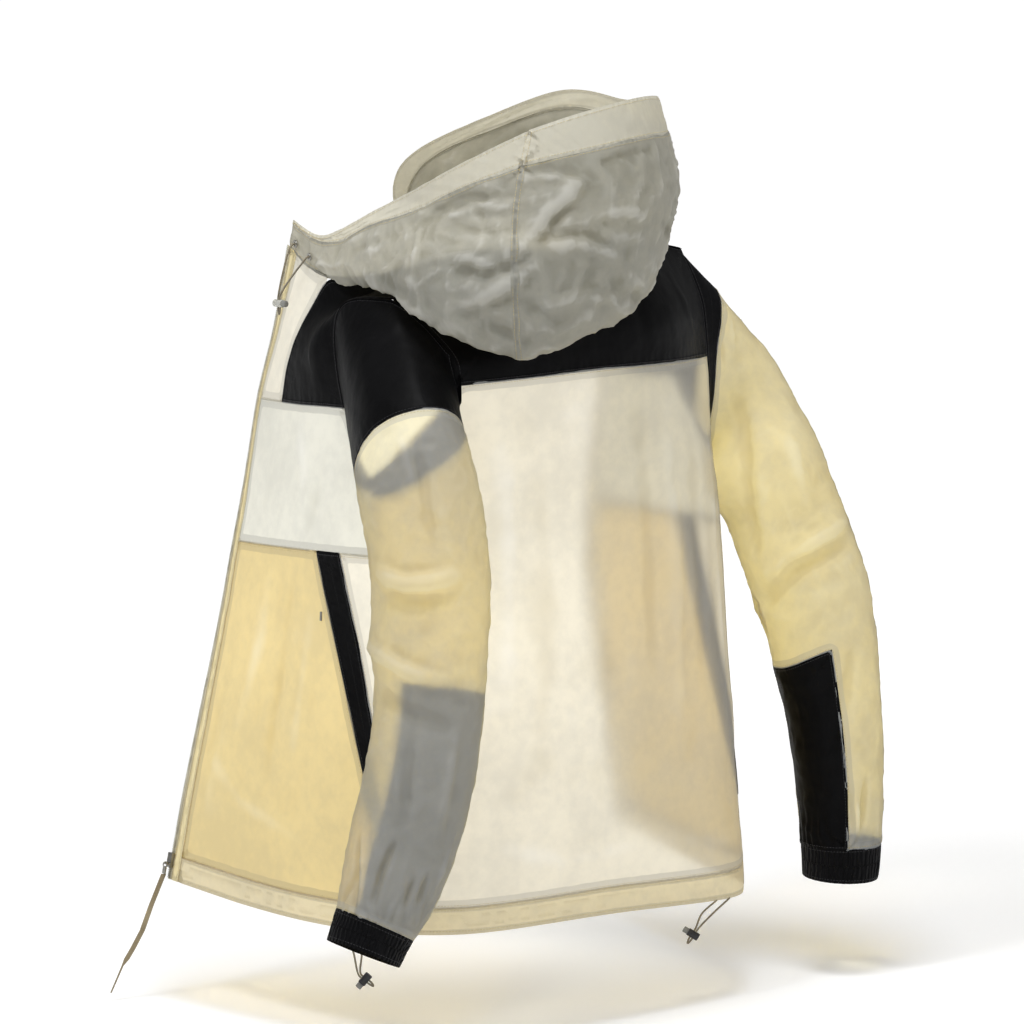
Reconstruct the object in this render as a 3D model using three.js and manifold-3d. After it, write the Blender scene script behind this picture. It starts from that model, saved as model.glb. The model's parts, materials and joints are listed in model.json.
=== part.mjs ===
import * as THREE from 'three';
import Module from 'manifold-3d';

// Open, filled-out hooded windbreaker in millimetres.
// Origin: middle of the neck at shoulder height. +Z up, the fronts face -Y, the wearer's left is +X.

const WALL = 1.4;
const GAP = 0.3;
const FACING = 9;
const TAPE = 4;
const CASING = 25;
const HOOD_CASING = 24;
const CORD = 2;
const CORD_SIDES = 8;

const colours = {
  cream: 0xeae0c8, chest: 0xe6e4da, yellow: 0xdacb8c, side: 0xf0e9d2, sleeve: 0xe0d4a4,
  black: 0x18181b, hood: 0xc8c0a6, casing: 0xc6b98c, facing: 0xb0a274, tape: 0xd8d6ce,
  cord: 0x6f6656, stop: 0x9c9ca0, metal: 0x2a2a2e, ribbon: 0xb5a88c,
};

// Each front is a set of levels from neck to hem. Columns run from the zip edge to the armhole or side.
const leftFront = [
  { level: 'neck', zip: [172, -182, -21], chest: [179, -112, -50], mid: [142, -38, -38], outer: [96, 30, -20], side: [200, 13, -60] },
  { level: 'upper', zip: [171, -203, -98], chest: [188, -150, -101], mid: [201, -112, -98], outer: [209, -84, -86], side: [212, -58, -72] },
  { level: 'bust', zip: [173, -230, -178], chest: [191, -180, -176], mid: [206, -126, -174], outer: [213, -82, -172], side: [216, -43, -171] },
  { level: 'underarm', zip: [183, -236, -250], chest: [202, -180, -247], mid: [216, -120, -243], outer: [225, -54, -240], side: [226, 12, -238] },
  { level: 'waist', zip: [195, -243, -323], chest: [212, -180, -320], mid: [224, -120, -317], outer: [234, -52, -314], side: [228, 26, -312] },
  { level: 'pocket', zip: [211, -252, -420], chest: [226, -186, -420], mid: [235, -120, -420], outer: [242, -48, -420], side: [232, 30, -420] },
  { level: 'low', zip: [240, -264, -560], chest: [248, -191, -562], mid: [252, -120, -565], outer: [252, -42, -567], side: [236, 38, -568] },
  { level: 'hem', zip: [258, -273, -667], chest: [262, -198, -672], mid: [262, -123, -677], outer: [258, -40, -680], side: [238, 44, -682] },
];
const rightFront = [
  { level: 'neck', zip: [-150, -178, -12], chest: [-152, -112, -38], mid: [-122, -42, -26], outer: [-96, 26, -12], side: [-202, -2, -33] },
  { level: 'upper', zip: [-200, -190, -95], chest: [-208, -152, -98], mid: [-213, -112, -96], outer: [-217, -84, -84], side: [-219, -60, -66] },
  { level: 'bust', zip: [-260, -202, -172], chest: [-247, -155, -171], mid: [-235, -112, -170], outer: [-225, -74, -168], side: [-219, -40, -166] },
  { level: 'underarm', zip: [-272, -222, -245], chest: [-262, -165, -243], mid: [-250, -108, -241], outer: [-240, -52, -240], side: [-231, 14, -238] },
  { level: 'waist', zip: [-275, -235, -318], chest: [-268, -175, -317], mid: [-258, -115, -316], outer: [-246, -55, -315], side: [-233, 26, -315] },
  { level: 'pocket', zip: [-285, -245, -425], chest: [-278, -180, -425], mid: [-268, -117, -425], outer: [-254, -55, -425], side: [-238, 30, -425] },
  { level: 'low', zip: [-318, -255, -562], chest: [-300, -187, -565], mid: [-282, -120, -567], outer: [-262, -52, -568], side: [-246, 38, -570] },
  { level: 'hem', zip: [-345, -262, -672], chest: [-322, -190, -677], mid: [-298, -120, -682], outer: [-272, -50, -687], side: [-252, 44, -692] },
];
// The back has the same levels. Its columns run from the wearer's left to right.
const backLevels = [
  { level: 'neck', left: [200, 13, -60], leftBlade: [96, 30, -20], centre: [0, 62, -22], rightBlade: [-96, 26, -12], right: [-202, -2, -33] },
  { level: 'upper', left: [191, 62, -92], leftBlade: [108, 86, -84], centre: [2, 90, -82], rightBlade: [-108, 76, -80], right: [-214, 16, -84] },
  { level: 'yoke', left: [182, 88, -141], leftBlade: [100, 101, -138], centre: [2, 99, -136], rightBlade: [-112, 82, -138], right: [-206, 34, -141] },
  { level: 'underarm', left: [226, 12, -238], leftBlade: [152, 84, -236], centre: [2, 101, -235], rightBlade: [-150, 82, -236], right: [-231, 14, -238] },
  { level: 'waist', left: [228, 26, -312], leftBlade: [152, 84, -313], centre: [2, 105, -314], rightBlade: [-152, 82, -315], right: [-233, 26, -315] },
  { level: 'pocket', left: [232, 30, -420], leftBlade: [156, 90, -421], centre: [2, 110, -422], rightBlade: [-156, 88, -424], right: [-238, 30, -425] },
  { level: 'low', left: [236, 38, -568], leftBlade: [160, 97, -568], centre: [2, 114, -566], rightBlade: [-164, 100, -569], right: [-246, 38, -570] },
  { level: 'hem', left: [238, 44, -682], leftBlade: [164, 100, -682], centre: [2, 119, -680], rightBlade: [-172, 108, -688], right: [-252, 44, -692] },
];

// Sleeve rings from the armhole down; the last three carry the elastic cuff. drop lowers the underarm side.
const leftSleeve = [
  { x: 245, y: 98, z: -206, radius: 58, drop: 50 },
  { x: 245, y: 107, z: -247, radius: 58.5, drop: 32 },
  { x: 242, y: 113, z: -305, radius: 59 },
  { x: 243, y: 117, z: -363, radius: 58 },
  { x: 248, y: 121, z: -430, radius: 55 },
  { x: 256, y: 120, z: -500, radius: 54.5 },
  { x: 266, y: 116, z: -547, radius: 55 },
  { x: 280, y: 111, z: -592, radius: 53.5 },
  { x: 297, y: 109, z: -635, radius: 47 },
  { x: 307, y: 106, z: -656, radius: 41.5 },
  { x: 313, y: 105, z: -668, radius: 39.5 },
  { x: 319, y: 104, z: -681, radius: 38.5 },
];
const rightSleeve = [
  { x: -304, y: -16, z: -190, radius: 50, drop: 56 },
  { x: -302, y: 8, z: -240, radius: 61, drop: 34 },
  { x: -312, y: 30, z: -295, radius: 62 },
  { x: -319, y: 50, z: -344, radius: 61 },
  { x: -326, y: 66, z: -390, radius: 60 },
  { x: -332, y: 77, z: -442, radius: 57 },
  { x: -341, y: 85, z: -519, radius: 50 },
  { x: -348, y: 87, z: -584, radius: 47 },
  { x: -351, y: 87, z: -630, radius: 43.5 },
  { x: -351, y: 87, z: -655, radius: 42 },
  { x: -352, y: 86, z: -673, radius: 41 },
  { x: -352, y: 85, z: -690, radius: 40 },
];

// Thrown-back hood, from the left front end round the back to the right front end.
// seam and at say where it is sewn to the neckline; belly is the lowest fold, out the outside, rim the mouth.
const hoodLines = [
  { seam: 'left', at: 0, under: [172, -182, -14], belly: [171, -181, -8], out: [170, -180, -2], rim: [169, -179, 5] },
  { seam: 'left', at: 0.17, under: [179, -127, -40], belly: [182, -126, -34], out: [183, -125, -22], rim: [181, -123, -9] },
  { seam: 'left', at: 0.36, under: [182, -84, -50], belly: [188, -76, -53], out: [198, -70, -28], rim: [191, -71, 4] },
  { seam: 'left', at: 0.55, under: [176, -30, -46], belly: [202, -28, -50], out: [209, -22, -14], rim: [194, -25, 22] },
  { seam: 'left', at: 0.75, under: [168, 26, -36], belly: [212, 38, -62], out: [216, 46, -8], rim: [190, 32, 46] },
  { seam: 'back', at: 0.36, under: [150, 74, -56], belly: [212, 98, -90], out: [214, 100, 4], rim: [182, 72, 66] },
  { seam: 'back', at: 0.47, under: [112, 108, -72], belly: [156, 148, -117], out: [172, 158, 18], rim: [139, 144, 107] },
  { seam: 'back', at: 0.57, under: [52, 116, -70], belly: [92, 168, -95], out: [92, 192, 28], rim: [68, 167, 127] },
  { seam: 'back', at: 0.66, under: [-22, 108, -54], belly: [8, 161, -73], out: [12, 190, 38], rim: [-2, 150, 134] },
  { seam: 'back', at: 0.75, under: [-76, 84, -28], belly: [-54, 128, -22], out: [-66, 136, 40], rim: [-56, 118, 132] },
  { seam: 'right', at: 0.62, under: [-118, 40, -6], belly: [-124, 60, 0], out: [-128, 66, 52], rim: [-104, 62, 124] },
  { seam: 'right', at: 0.5, under: [-136, -14, 0], belly: [-146, -8, 12], out: [-152, -12, 60], rim: [-130, -14, 120] },
  { seam: 'right', at: 0.38, under: [-146, -76, 4], belly: [-146, -84, 40], out: [-134, -84, 84], rim: [-116, -76, 131] },
  { seam: 'right', at: 0.26, under: [-140, -124, 6], belly: [-124, -130, 40], out: [-96, -130, 74], rim: [-66, -132, 105] },
  { seam: 'right', at: 0.17, under: [-118, -158, 4], belly: [-80, -164, 26], out: [-36, -164, 48], rim: [16, -158, 72] },
  { seam: 'right', at: 0.08, under: [-114, -176, -8], belly: [-70, -182, 4], out: [-22, -180, 18], rim: [50, -158, 44] },
  { seam: 'right', at: 0, under: [-108, -192, -12], belly: [-66, -198, -8], out: [-24, -196, 0], rim: [44, -166, 14] },
];

// The largest folds run near the cloth from one point to another and move it out by depth, or in where it is negative.
const leftSleeveFolds = [
  { from: [302, 106, -310], to: [264, 168, -313], width: 15, depth: 5 },
  { from: [304, 92, -338], to: [268, 166, -340], width: 15, depth: -9 },
  { from: [298, 78, -384], to: [276, 166, -412], width: 15, depth: 6 },
  { from: [300, 98, -424], to: [284, 158, -446], width: 17, depth: -5 },
  { from: [196, 92, -330], to: [236, 62, -352], width: 16, depth: -6 },
  { from: [290, 158, -560], to: [312, 150, -604], width: 12, depth: -4 },
];
const rightSleeveFolds = [
  { from: [-339, 99, -315], to: [-266, 66, -370], width: 14, depth: 6 },
  { from: [-322, 108, -346], to: [-268, 62, -394], width: 14, depth: -7 },
  { from: [-278, 34, -404], to: [-300, 108, -424], width: 15, depth: 5 },
  { from: [-284, 44, -442], to: [-306, 120, -462], width: 16, depth: -4 },
  { from: [-372, 66, -352], to: [-358, 20, -384], width: 16, depth: -6 },
];
const hoodFolds = [
  { from: [204, 83, 29], to: [185, 125, 46], width: 12, depth: -5 },
  { from: [164, 147, 61], to: [111, 180, 60], width: 11, depth: 4 },
  { from: [108, 182, 56], to: [148, 171, 19], width: 12, depth: 5 },
  { from: [112, 185, 32], to: [143, 174, 5], width: 12, depth: -5 },
  { from: [210, 114, -20], to: [163, 162, -17], width: 13, depth: -6 },
  { from: [151, 169, -16], to: [205, 120, -60], width: 12, depth: 4 },
];

const kernel = await Module();
kernel.setup();

const vec = (a) => new THREE.Vector3(a[0], a[1], a[2]);
const clamp = (x, low, high) => Math.min(Math.max(x, low), high);
const wrapped = (x) => ((x % 1) + 1) % 1;

// The point moved along a unit direction by every fold that it lies near.
function folded(point, out, folds) {
  const amount = folds.reduce((sum, { from, to, width, depth }) => {
    const near = new THREE.Line3(vec(from), vec(to)).closestPointToPoint(point, true, new THREE.Vector3());
    return sum + depth * Math.exp(-((near.distanceTo(point) / width) ** 2));
  }, 0);
  return point.addScaledVector(out, amount);
}

// Catmull-Rom through the points, u from 0 to 1 over all of them.
function spline(points, u) {
  const last = points.length - 1;
  const x = clamp(u, 0, 1) * last;
  const i = Math.min(Math.floor(x), last - 1);
  const f = x - i;
  const p1 = points[i];
  const p2 = points[i + 1];
  const p0 = i > 0 ? points[i - 1] : p1.clone().multiplyScalar(2).sub(p2);
  const p3 = i + 2 <= last ? points[i + 2] : p2.clone().multiplyScalar(2).sub(p1);
  const out = new THREE.Vector3();
  for (const k of ['x', 'y', 'z']) {
    const m1 = (p2[k] - p0[k]) / 2;
    const m2 = (p3[k] - p1[k]) / 2;
    out[k] = (2 * f ** 3 - 3 * f ** 2 + 1) * p1[k] + (f ** 3 - 2 * f ** 2 + f) * m1
      + (3 * f ** 2 - 2 * f ** 3) * p2[k] + (f ** 3 - f ** 2) * m2;
  }
  return out;
}

// The same curve broken into separate ones at the corner points, such as where neckline and shoulder meet.
function splineWithCorners(points, corners, u) {
  const last = points.length - 1;
  const stops = [0, ...corners, last];
  const x = clamp(u, 0, 1) * last;
  const k = stops.findIndex((stop, n) => n > 0 && x <= stop + 1e-9);
  const from = stops[k - 1];
  const part = points.slice(from, stops[k] + 1);
  return spline(part, (x - from) / (stops[k] - from));
}

// A surface over s (across) and t (down), both 0 to 1. Its top row has corners at the neck points, and
// towards a side seam it turns a corner at the underarm, so that front and back share the seam line.
function surface(levels, names, corners, nearSide) {
  const points = levels.map((row) => names.map((name) => vec(row[name])));
  const row = levels.findIndex(({ level }) => level === 'underarm');
  return (s, t) => {
    const column = points.map((line, k) => splineWithCorners(line, k ? [] : corners, s));
    return spline(column, t).lerp(splineWithCorners(column, [row], t), nearSide(s));
  };
}

const frontNames = ['zip', 'chest', 'mid', 'outer', 'side'];
const backNames = ['left', 'leftBlade', 'centre', 'rightBlade', 'right'];
const frontSide = (s) => clamp((s - 0.75) / 0.25, 0, 1) ** 2;
const backSides = (s) => clamp(Math.abs(4 * s - 2) - 1, 0, 1) ** 2;
const leftFrontAt = surface(leftFront, frontNames, [3], frontSide);
const rightFrontAt = surface(rightFront, frontNames, [3], frontSide);
const backAt = surface(backLevels, backNames, [1, 3], backSides);

// Points on the neckline for the hood: on the left front, the back or the right front.
const necklines = {
  left: (s) => leftFrontAt(s, 0),
  back: (s) => backAt(s, 0),
  right: (s) => rightFrontAt(s, 0),
};
const hoodNames = ['rim', 'out', 'belly', 'under'];
const hoodRows = hoodNames.map((name) => hoodLines.map((line) => vec(line[name])));
const seamLift = { left: 2.2, back: 4.5, right: 6 };
hoodRows.push(hoodLines.map(({ seam, at }) => necklines[seam](at).add(new THREE.Vector3(0, 0, seamLift[seam]))));
const smoothHood = (s, t) => spline(hoodRows.map((row) => spline(row, s)), t);
const hoodAt = (s, t) => folded(smoothHood(s, t), ownNormal(smoothHood, s, t, 1), hoodFolds);

// Unit normal of a surface; side is 1 or -1 and says which way is out.
function ownNormal(at, s, t, side) {
  const e = 1e-3;
  const ds = at(Math.min(s + e, 1), t).sub(at(Math.max(s - e, 0), t));
  const dt = at(s, Math.min(t + e, 1)).sub(at(s, Math.max(t - e, 0)));
  return dt.cross(ds).normalize().multiplyScalar(side);
}

// Levels, counted from the neck, at which the seams lie.
const LEVELS = 7;
const bust = 2 / LEVELS;
const underarm = 3 / LEVELS;
const waist = 4 / LEVELS;
const hemSeam = 1 - CASING / 110 / LEVELS;
const neckPoint = 0.75;

// Front and back share one normal along the side and shoulder seams, so their walls meet in a mitre.
function bodyNormals(frontAt, outSide, onLeft) {
  const backS = (s) => (onLeft ? 1 - s : s);
  const front = (s, t) => ownNormal(frontAt, s, t, outSide);
  const back = (s, t) => ownNormal(backAt, s, t, 1);
  const mean = (s, t) => front(s, t).add(back(backS(s), t)).normalize();
  const onSeam = (s, t) => (s > 0.985 && t > underarm - 0.01) || (s > neckPoint - 0.01 && t < 0.01);
  return { front: (s, t) => (onSeam(s, t) ? mean(s, t) : front(s, t)), mean, onSeam, backS };
}
const leftNormals = bodyNormals(leftFrontAt, 1, true);
const rightNormals = bodyNormals(rightFrontAt, -1, false);
function backNormal(s, t) {
  const { mean, onSeam, backS } = s < 0.5 ? leftNormals : rightNormals;
  return onSeam(backS(s), t) ? mean(backS(s), t) : ownNormal(backAt, s, t, 1);
}

function meshGeometry(positions, triangles) {
  const geometry = new THREE.BufferGeometry();
  geometry.setAttribute('position', new THREE.Float32BufferAttribute(positions, 3));
  geometry.setIndex(triangles);
  return geometry;
}

function dropUnused(positions, triangles) {
  const map = new Map();
  const used = [];
  const index = triangles.map((k) => {
    if (!map.has(k)) {
      map.set(k, used.length / 3);
      used.push(positions[3 * k], positions[3 * k + 1], positions[3 * k + 2]);
    }
    return map.get(k);
  });
  return meshGeometry(used, index);
}

// Closes a grid of outer and inner points into one thin wall. skip(i, j) leaves cells out.
function thinWall(outer, inner, wrap, skip, flip) {
  const rows = outer.length;
  const cols = outer[0].length;
  const positions = [];
  const place = (grid) => grid.forEach((row) => row.forEach((p) => positions.push(p.x, p.y, p.z)));
  place(outer);
  place(inner);
  const id = (layer, i, j) => layer * rows * cols + i * cols + (j % cols);
  const cells = wrap ? cols : cols - 1;
  const kept = (i, j) => {
    if (i < 0 || i >= rows - 1) return false;
    if (!wrap && (j < 0 || j >= cells)) return false;
    return !skip(i, (j + cells) % cells);
  };
  const triangles = [];
  const quad = (a, b, c, d) => {
    if (flip) triangles.push(a, b, c, a, c, d);
    else triangles.push(a, c, b, a, d, c);
  };
  for (let i = 0; i < rows - 1; i += 1) {
    for (let j = 0; j < cells; j += 1) {
      if (!kept(i, j)) continue;
      quad(id(0, i, j), id(0, i + 1, j), id(0, i + 1, j + 1), id(0, i, j + 1));
      quad(id(1, i, j), id(1, i, j + 1), id(1, i + 1, j + 1), id(1, i + 1, j));
      if (!kept(i - 1, j)) quad(id(0, i, j), id(0, i, j + 1), id(1, i, j + 1), id(1, i, j));
      if (!kept(i + 1, j)) quad(id(0, i + 1, j + 1), id(0, i + 1, j), id(1, i + 1, j), id(1, i + 1, j + 1));
      if (!kept(i, j - 1)) quad(id(0, i + 1, j), id(0, i, j), id(1, i, j), id(1, i + 1, j));
      if (!kept(i, j + 1)) quad(id(0, i, j + 1), id(0, i + 1, j + 1), id(1, i + 1, j + 1), id(1, i, j + 1));
    }
  }
  return dropUnused(positions, triangles);
}

const jacket = new THREE.Group();
jacket.name = 'windbreaker';

function add(name, geometry, colour) {
  const material = new THREE.MeshStandardMaterial({ color: colour, roughness: 0.7, metalness: 0 });
  const mesh = new THREE.Mesh(geometry, material);
  mesh.name = name;
  jacket.add(mesh);
}

// Evenly spaced values from a to b.
const spread = (a, b, steps) => Array.from({ length: steps + 1 }, (_, k) => a + (b - a) * k / steps);

// The same list drawn in by half a seam gap at both ends of an edge of this length.
function trimmed(values, length) {
  const from = values[0];
  const to = values[values.length - 1];
  const trim = (to - from) * GAP / 2 / Math.max(length, 1);
  return values.map((x) => clamp(x, from + trim, to - trim));
}

// s of an edge at level t. The edge is a list of [s, t] corners from top to bottom.
function edgeAt(edge, t) {
  const i = clamp(edge.findIndex((corner) => corner[1] >= t) - 1, 0, edge.length - 2);
  const [a, b] = [edge[i], edge[i + 1]];
  return a[0] + (b[0] - a[0]) * clamp((t - a[1]) / (b[1] - a[1]), 0, 1);
}

// A panel is the part of a surface between two such edges, cut at these levels.
function panel(name, { at, normal, flip }, startEdge, endEdge, columns, levels, colour) {
  const spot = (u, t) => {
    const a = edgeAt(startEdge, t);
    return [a + (edgeAt(endEdge, t) - a) * u, t];
  };
  const [top, low] = [levels[0], levels[levels.length - 1]];
  const down = at(...spot(0.5, top)).distanceTo(at(...spot(0.5, low)));
  const ts = trimmed(levels, down);
  const grid = (amount) => ts.map((t) => {
    const across = at(...spot(0, t)).distanceTo(at(...spot(0.5, t))) + at(...spot(0.5, t)).distanceTo(at(...spot(1, t)));
    return trimmed(spread(0, 1, columns), across).map((u) => {
      const [s] = spot(u, t);
      return at(s, t).addScaledVector(normal(s, t), amount);
    });
  });
  add(name, thinWall(grid(0), grid(-WALL), false, () => false, flip), colour);
}

// Every front piece and the back are cut at the same levels, so their seams match point by point.
const yokeLevels = spread(0, bust, 6);
const chestLevels = spread(bust, waist, 5);
const lowerLevels = spread(waist, hemSeam, 10);
const hemLevels = [hemSeam, 1];
const allLevels = [...new Set([...yokeLevels, ...chestLevels, ...lowerLevels, ...hemLevels])];

function front(tag, cloth, strip) {
  const width = 225;
  const tape = TAPE / width;
  const facing = tape + FACING / width;
  const piece = (name, start, end, steps, levels, colour) => panel(
    `${name}_${tag}`, cloth, start, end, steps, levels, colour);
  const line = (s) => [[s, 0], [s, 1]];
  const yoke = [[strip.yokeTop, 0], [strip.yokeLow, bust]];
  const [outerEnd, innerEnd] = [lowerLevels[strip.outerRow], lowerLevels[strip.innerRow]];
  const inner = [[strip.inner, waist], [0.99, innerEnd], [1, innerEnd + 0.004], [1, 1]];
  const outer = [[strip.outer, waist], [0.99, outerEnd], [1, outerEnd + 0.004], [1, 1]];
  piece('zip_tape', line(0), line(tape), 1, allLevels, colours.tape);
  piece('front_facing', line(tape), line(facing), 1, allLevels, colours.facing);
  piece('front_upper', line(facing), yoke, 4, yokeLevels, colours.side);
  piece('yoke_front', yoke, line(1), 12, yokeLevels, colours.black);
  piece('front_chest', line(facing), line(1), 9, chestLevels, colours.chest);
  piece('front_lower', line(facing), inner, 7, lowerLevels, colours.yellow);
  piece('pocket_strip', inner, outer, 2, lowerLevels.slice(0, strip.innerRow + 1), colours.black);
  piece('front_side', outer, line(1), 3, lowerLevels.slice(0, strip.outerRow + 1), colours.side);
  piece('hem_casing_front', line(facing), line(1), 9, hemLevels, colours.casing);
}
const leftCloth = { at: leftFrontAt, normal: leftNormals.front, flip: true };
const rightCloth = { at: rightFrontAt, normal: rightNormals.front, flip: false };
const backCloth = { at: backAt, normal: backNormal, flip: true };
const strip = { yokeTop: 0.25, yokeLow: 0.33, inner: 0.7, outer: 0.82, innerRow: 8, outerRow: 6 };
front('left', leftCloth, strip);
front('right', rightCloth, strip);

const [leftEdge, rightEdge] = [[[0, 0], [0, 1]], [[1, 0], [1, 1]]];
const backPiece = (name, levels, colour) => panel(name, backCloth, leftEdge, rightEdge, 16, levels, colour);
backPiece('yoke_back', yokeLevels, colours.black);
backPiece('back_panel', [...chestLevels, ...lowerLevels.slice(1)], colours.cream);
backPiece('hem_casing_back', hemLevels, colours.casing);

// Rings of a sleeve as functions of round, 0 to 1 from the outer side by way of the back.
function sleeveRings(rings, turn, start) {
  const centres = rings.map((ring) => vec([ring.x, ring.y, ring.z]));
  return rings.map((ring, k) => {
    const before = centres[Math.max(k - 1, 0)];
    const after = centres[Math.min(k + 1, centres.length - 1)];
    const down = after.clone().sub(before).normalize();
    return (round) => {
      const angle = (start + turn * 360 * round) * Math.PI / 180;
      const out = new THREE.Vector3(Math.cos(angle), Math.sin(angle), 0);
      out.addScaledVector(down, -out.dot(down)).normalize();
      const low = (ring.drop ?? 0) * (1 - Math.cos(round * 2 * Math.PI)) / 2;
      return centres[k].clone().addScaledVector(out, ring.radius).add(new THREE.Vector3(0, 0, -low));
    };
  });
}

const ROUND = 20;
const CUFF_RINGS = 2;

function sleeve(tag, { frontAt, backSide, rings, turn, start, cap, clear, panelFrom, panelTo, elbow, bulge, folds }) {
  // The armhole as a loop: top of the shoulder, down the back edge, underarm, up the front edge.
  const armhole = (round) => (round < 0.5
    ? backAt(backSide, underarm * round / 0.5) : frontAt(1, underarm * (1 - round) / 0.5));
  const sections = sleeveRings(rings, turn, start);
  const capLine = (round) => armhole(round).lerp(sections[0](round), 0.62)
    .addScaledVector(vec(bulge), Math.max(0, Math.cos(round * 2 * Math.PI)));
  const lines = [armhole, capLine, ...sections];
  const rows = lines.length - 1;
  const middles = [rings[0], rings[0], ...rings].map((ring) => vec([ring.x, ring.y, ring.z]));
  const at = (round, t) => {
    const point = spline(lines.map((line) => line(wrapped(round))), t);
    const out = point.clone().sub(spline(middles, t)).setZ(0).normalize();
    return folded(point, out, folds);
  };
  const normal = (round, t) => {
    const e = 1e-3;
    const a = at(round + e, t).sub(at(round - e, t));
    const b = at(round, Math.min(t + e, 1)).sub(at(round, Math.max(t - e, 0)));
    return b.cross(a).normalize().multiplyScalar(turn);
  };
  const wall = (name, angles, levels, level, skip, colour, thick = WALL) => {
    const grid = (amount) => levels.map((v) => angles.map((round) => {
      const t = level(round, v);
      return at(round, t).addScaledVector(normal(round, t), amount);
    }));
    add(`${name}_${tag}`, thinWall(grid(0), grid(-thick), true, skip, turn > 0), colour);
  };
  const rounds = Array.from({ length: ROUND }, (_, k) => k / ROUND);
  // Four values at top, back, underarm and front, blended round the arm.
  const quarters = (values, round) => {
    const x = wrapped(round) * 4;
    const k = Math.floor(x) % 4;
    const f = (1 - Math.cos((x - Math.floor(x)) * Math.PI)) / 2;
    return values[k] * (1 - f) + values[(k + 1) % 4] * f;
  };
  // Levels of the seam between cap and sleeve.
  const capEnd = (round) => quarters(cap, round) / rows;
  const seam = GAP / 2 / 480;
  // The ring gap between cap and sleeve opens a little under the arm, where the wall turns sharply.
  const capGap = (round) => seam * (1 + 4 * ((1 - Math.cos(round * 2 * Math.PI)) / 2) ** 3);
  // The cap starts just clear of the body by these millimetres, most under the arm, where cloth lies on cloth.
  const capStart = (round) => {
    const span = armhole(wrapped(round)).distanceTo(sections[0](wrapped(round))) * 0.62;
    return quarters(clear, round) / span / rows;
  };
  // The forearm panel is set into the main piece, so both use one list of angles and levels.
  const inset = GAP / 2 / 340;
  const between = rounds.filter((x) => Math.abs(x - panelFrom) > 0.02 && Math.abs(x - panelTo) > 0.02);
  const angles = [...between, panelFrom - inset, panelFrom + inset, panelTo - inset, panelTo + inset]
    .sort((p, q) => p - q);
  wall('sleeve_cap', angles, [0, 0.25, 0.5, 0.75, 1], (round, v) => {
    const top = capStart(round);
    return top + (capEnd(round) - capGap(round) - top) * v;
  }, () => false, colours.black);
  const upper = [0, 0.1, 0.2, 0.3, 0.38, 0.44, 0.5, 0.56, 0.62, 0.68, 0.74, 0.8, 0.86, 0.93].map((x) => x * elbow);
  const lower = [0.12, 0.25, 0.4, 0.55, 0.7, 0.85, 1].map((x) => elbow + (1 - elbow) * x);
  const levels = [...upper, elbow - seam, elbow + seam, ...lower];
  const cuffTop = (rows - CUFF_RINGS) / rows;
  const level = (round, v) => {
    const top = capEnd(round) + capGap(round);
    return top + (cuffTop - seam - top) * v;
  };
  const inPanel = (i, j) => levels[i] > elbow && angles[j] > panelFrom && angles[j] < panelTo - 2 * inset;
  const near = (i, j) => levels[i] > elbow - 1.5 * seam
    && angles[j] > panelFrom - 1.5 * inset && angles[j] < panelTo;
  wall('sleeve_main', angles, levels, level, near, colours.sleeve);
  wall('forearm_panel', angles, levels, level, (i, j) => !inPanel(i, j), colours.black);
  wall('cuff', angles, [0, 0.33, 0.67, 1], (round, v) => cuffTop + seam + (1 - cuffTop - seam) * v,
    () => false, colours.black, WALL + 0.4);
}
sleeve('left', {
  frontAt: leftFrontAt, backSide: 0, rings: leftSleeve, turn: 1, start: 70, cap: [1.28, 1.08, 0.92, 1.38],
  clear: [2.2, 3.3, 6.6, 2.2],
  panelFrom: 0.236, panelTo: 0.514, elbow: 0.5, bulge: [12, 8, 6],
  folds: leftSleeveFolds,
});
sleeve('right', {
  frontAt: rightFrontAt, backSide: 1, rings: rightSleeve, turn: -1, start: 159, cap: [0.45, 0.36, 0.9, 0.7],
  clear: [2.2, 0.6, 6.6, 2.2],
  panelFrom: 0.294, panelTo: 0.572, elbow: 0.63, bulge: [-5, 2, 7],
  folds: rightSleeveFolds,
});

// Hood: t runs from the rim over the outside and the belly to the neck seam.
const rimSeam = HOOD_CASING / 250;
const centreSeam = 0.375;
const hoodCloth = { at: hoodAt, normal: (s, t) => ownNormal(hoodAt, s, t, 1), flip: true };
const hoodPiece = (name, from, to, columns, levels) => panel(name, hoodCloth,
  [[from, 0], [from, 1]], [[to, 0], [to, 1]], columns, levels, colours.hood);
hoodPiece('hood_casing_left', 0.004, centreSeam, 14, [0, rimSeam]);
hoodPiece('hood_casing_right', centreSeam, 0.996, 20, [0, rimSeam]);
hoodPiece('hood_left', 0.004, centreSeam, 14, spread(rimSeam, 1, 11));
hoodPiece('hood_right', centreSeam, 0.996, 20, spread(rimSeam, 1, 11));

// Small hard pieces and cords.
const { Manifold } = kernel;

function fromManifold(solid) {
  const mesh = solid.getMesh();
  const positions = [];
  for (let k = 0; k < mesh.vertProperties.length; k += mesh.numProp) {
    positions.push(...mesh.vertProperties.slice(k, k + 3));
  }
  return meshGeometry(positions, Array.from(mesh.triVerts));
}

const block = (size, centre) => Manifold.cube(size, true).translate(centre);
const rod = (radius, length, sides = 16) => Manifold.cylinder(length, radius, radius, sides, true);
const placed = (geometry, basis, origin) => geometry.applyMatrix4(
  new THREE.Matrix4().makeBasis(...basis).setPosition(origin));

// Directions at a spot of a cloth surface: across, out of the cloth and up along it.
function clothBasis({ at, normal }, s, t) {
  const out = normal(s, t).clone();
  const up = at(s, t - 0.01).sub(at(s, t + 0.01));
  up.addScaledVector(out, -up.dot(out)).normalize();
  return { spot: at(s, t), basis: [new THREE.Vector3().crossVectors(out, up), out, up] };
}

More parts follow.
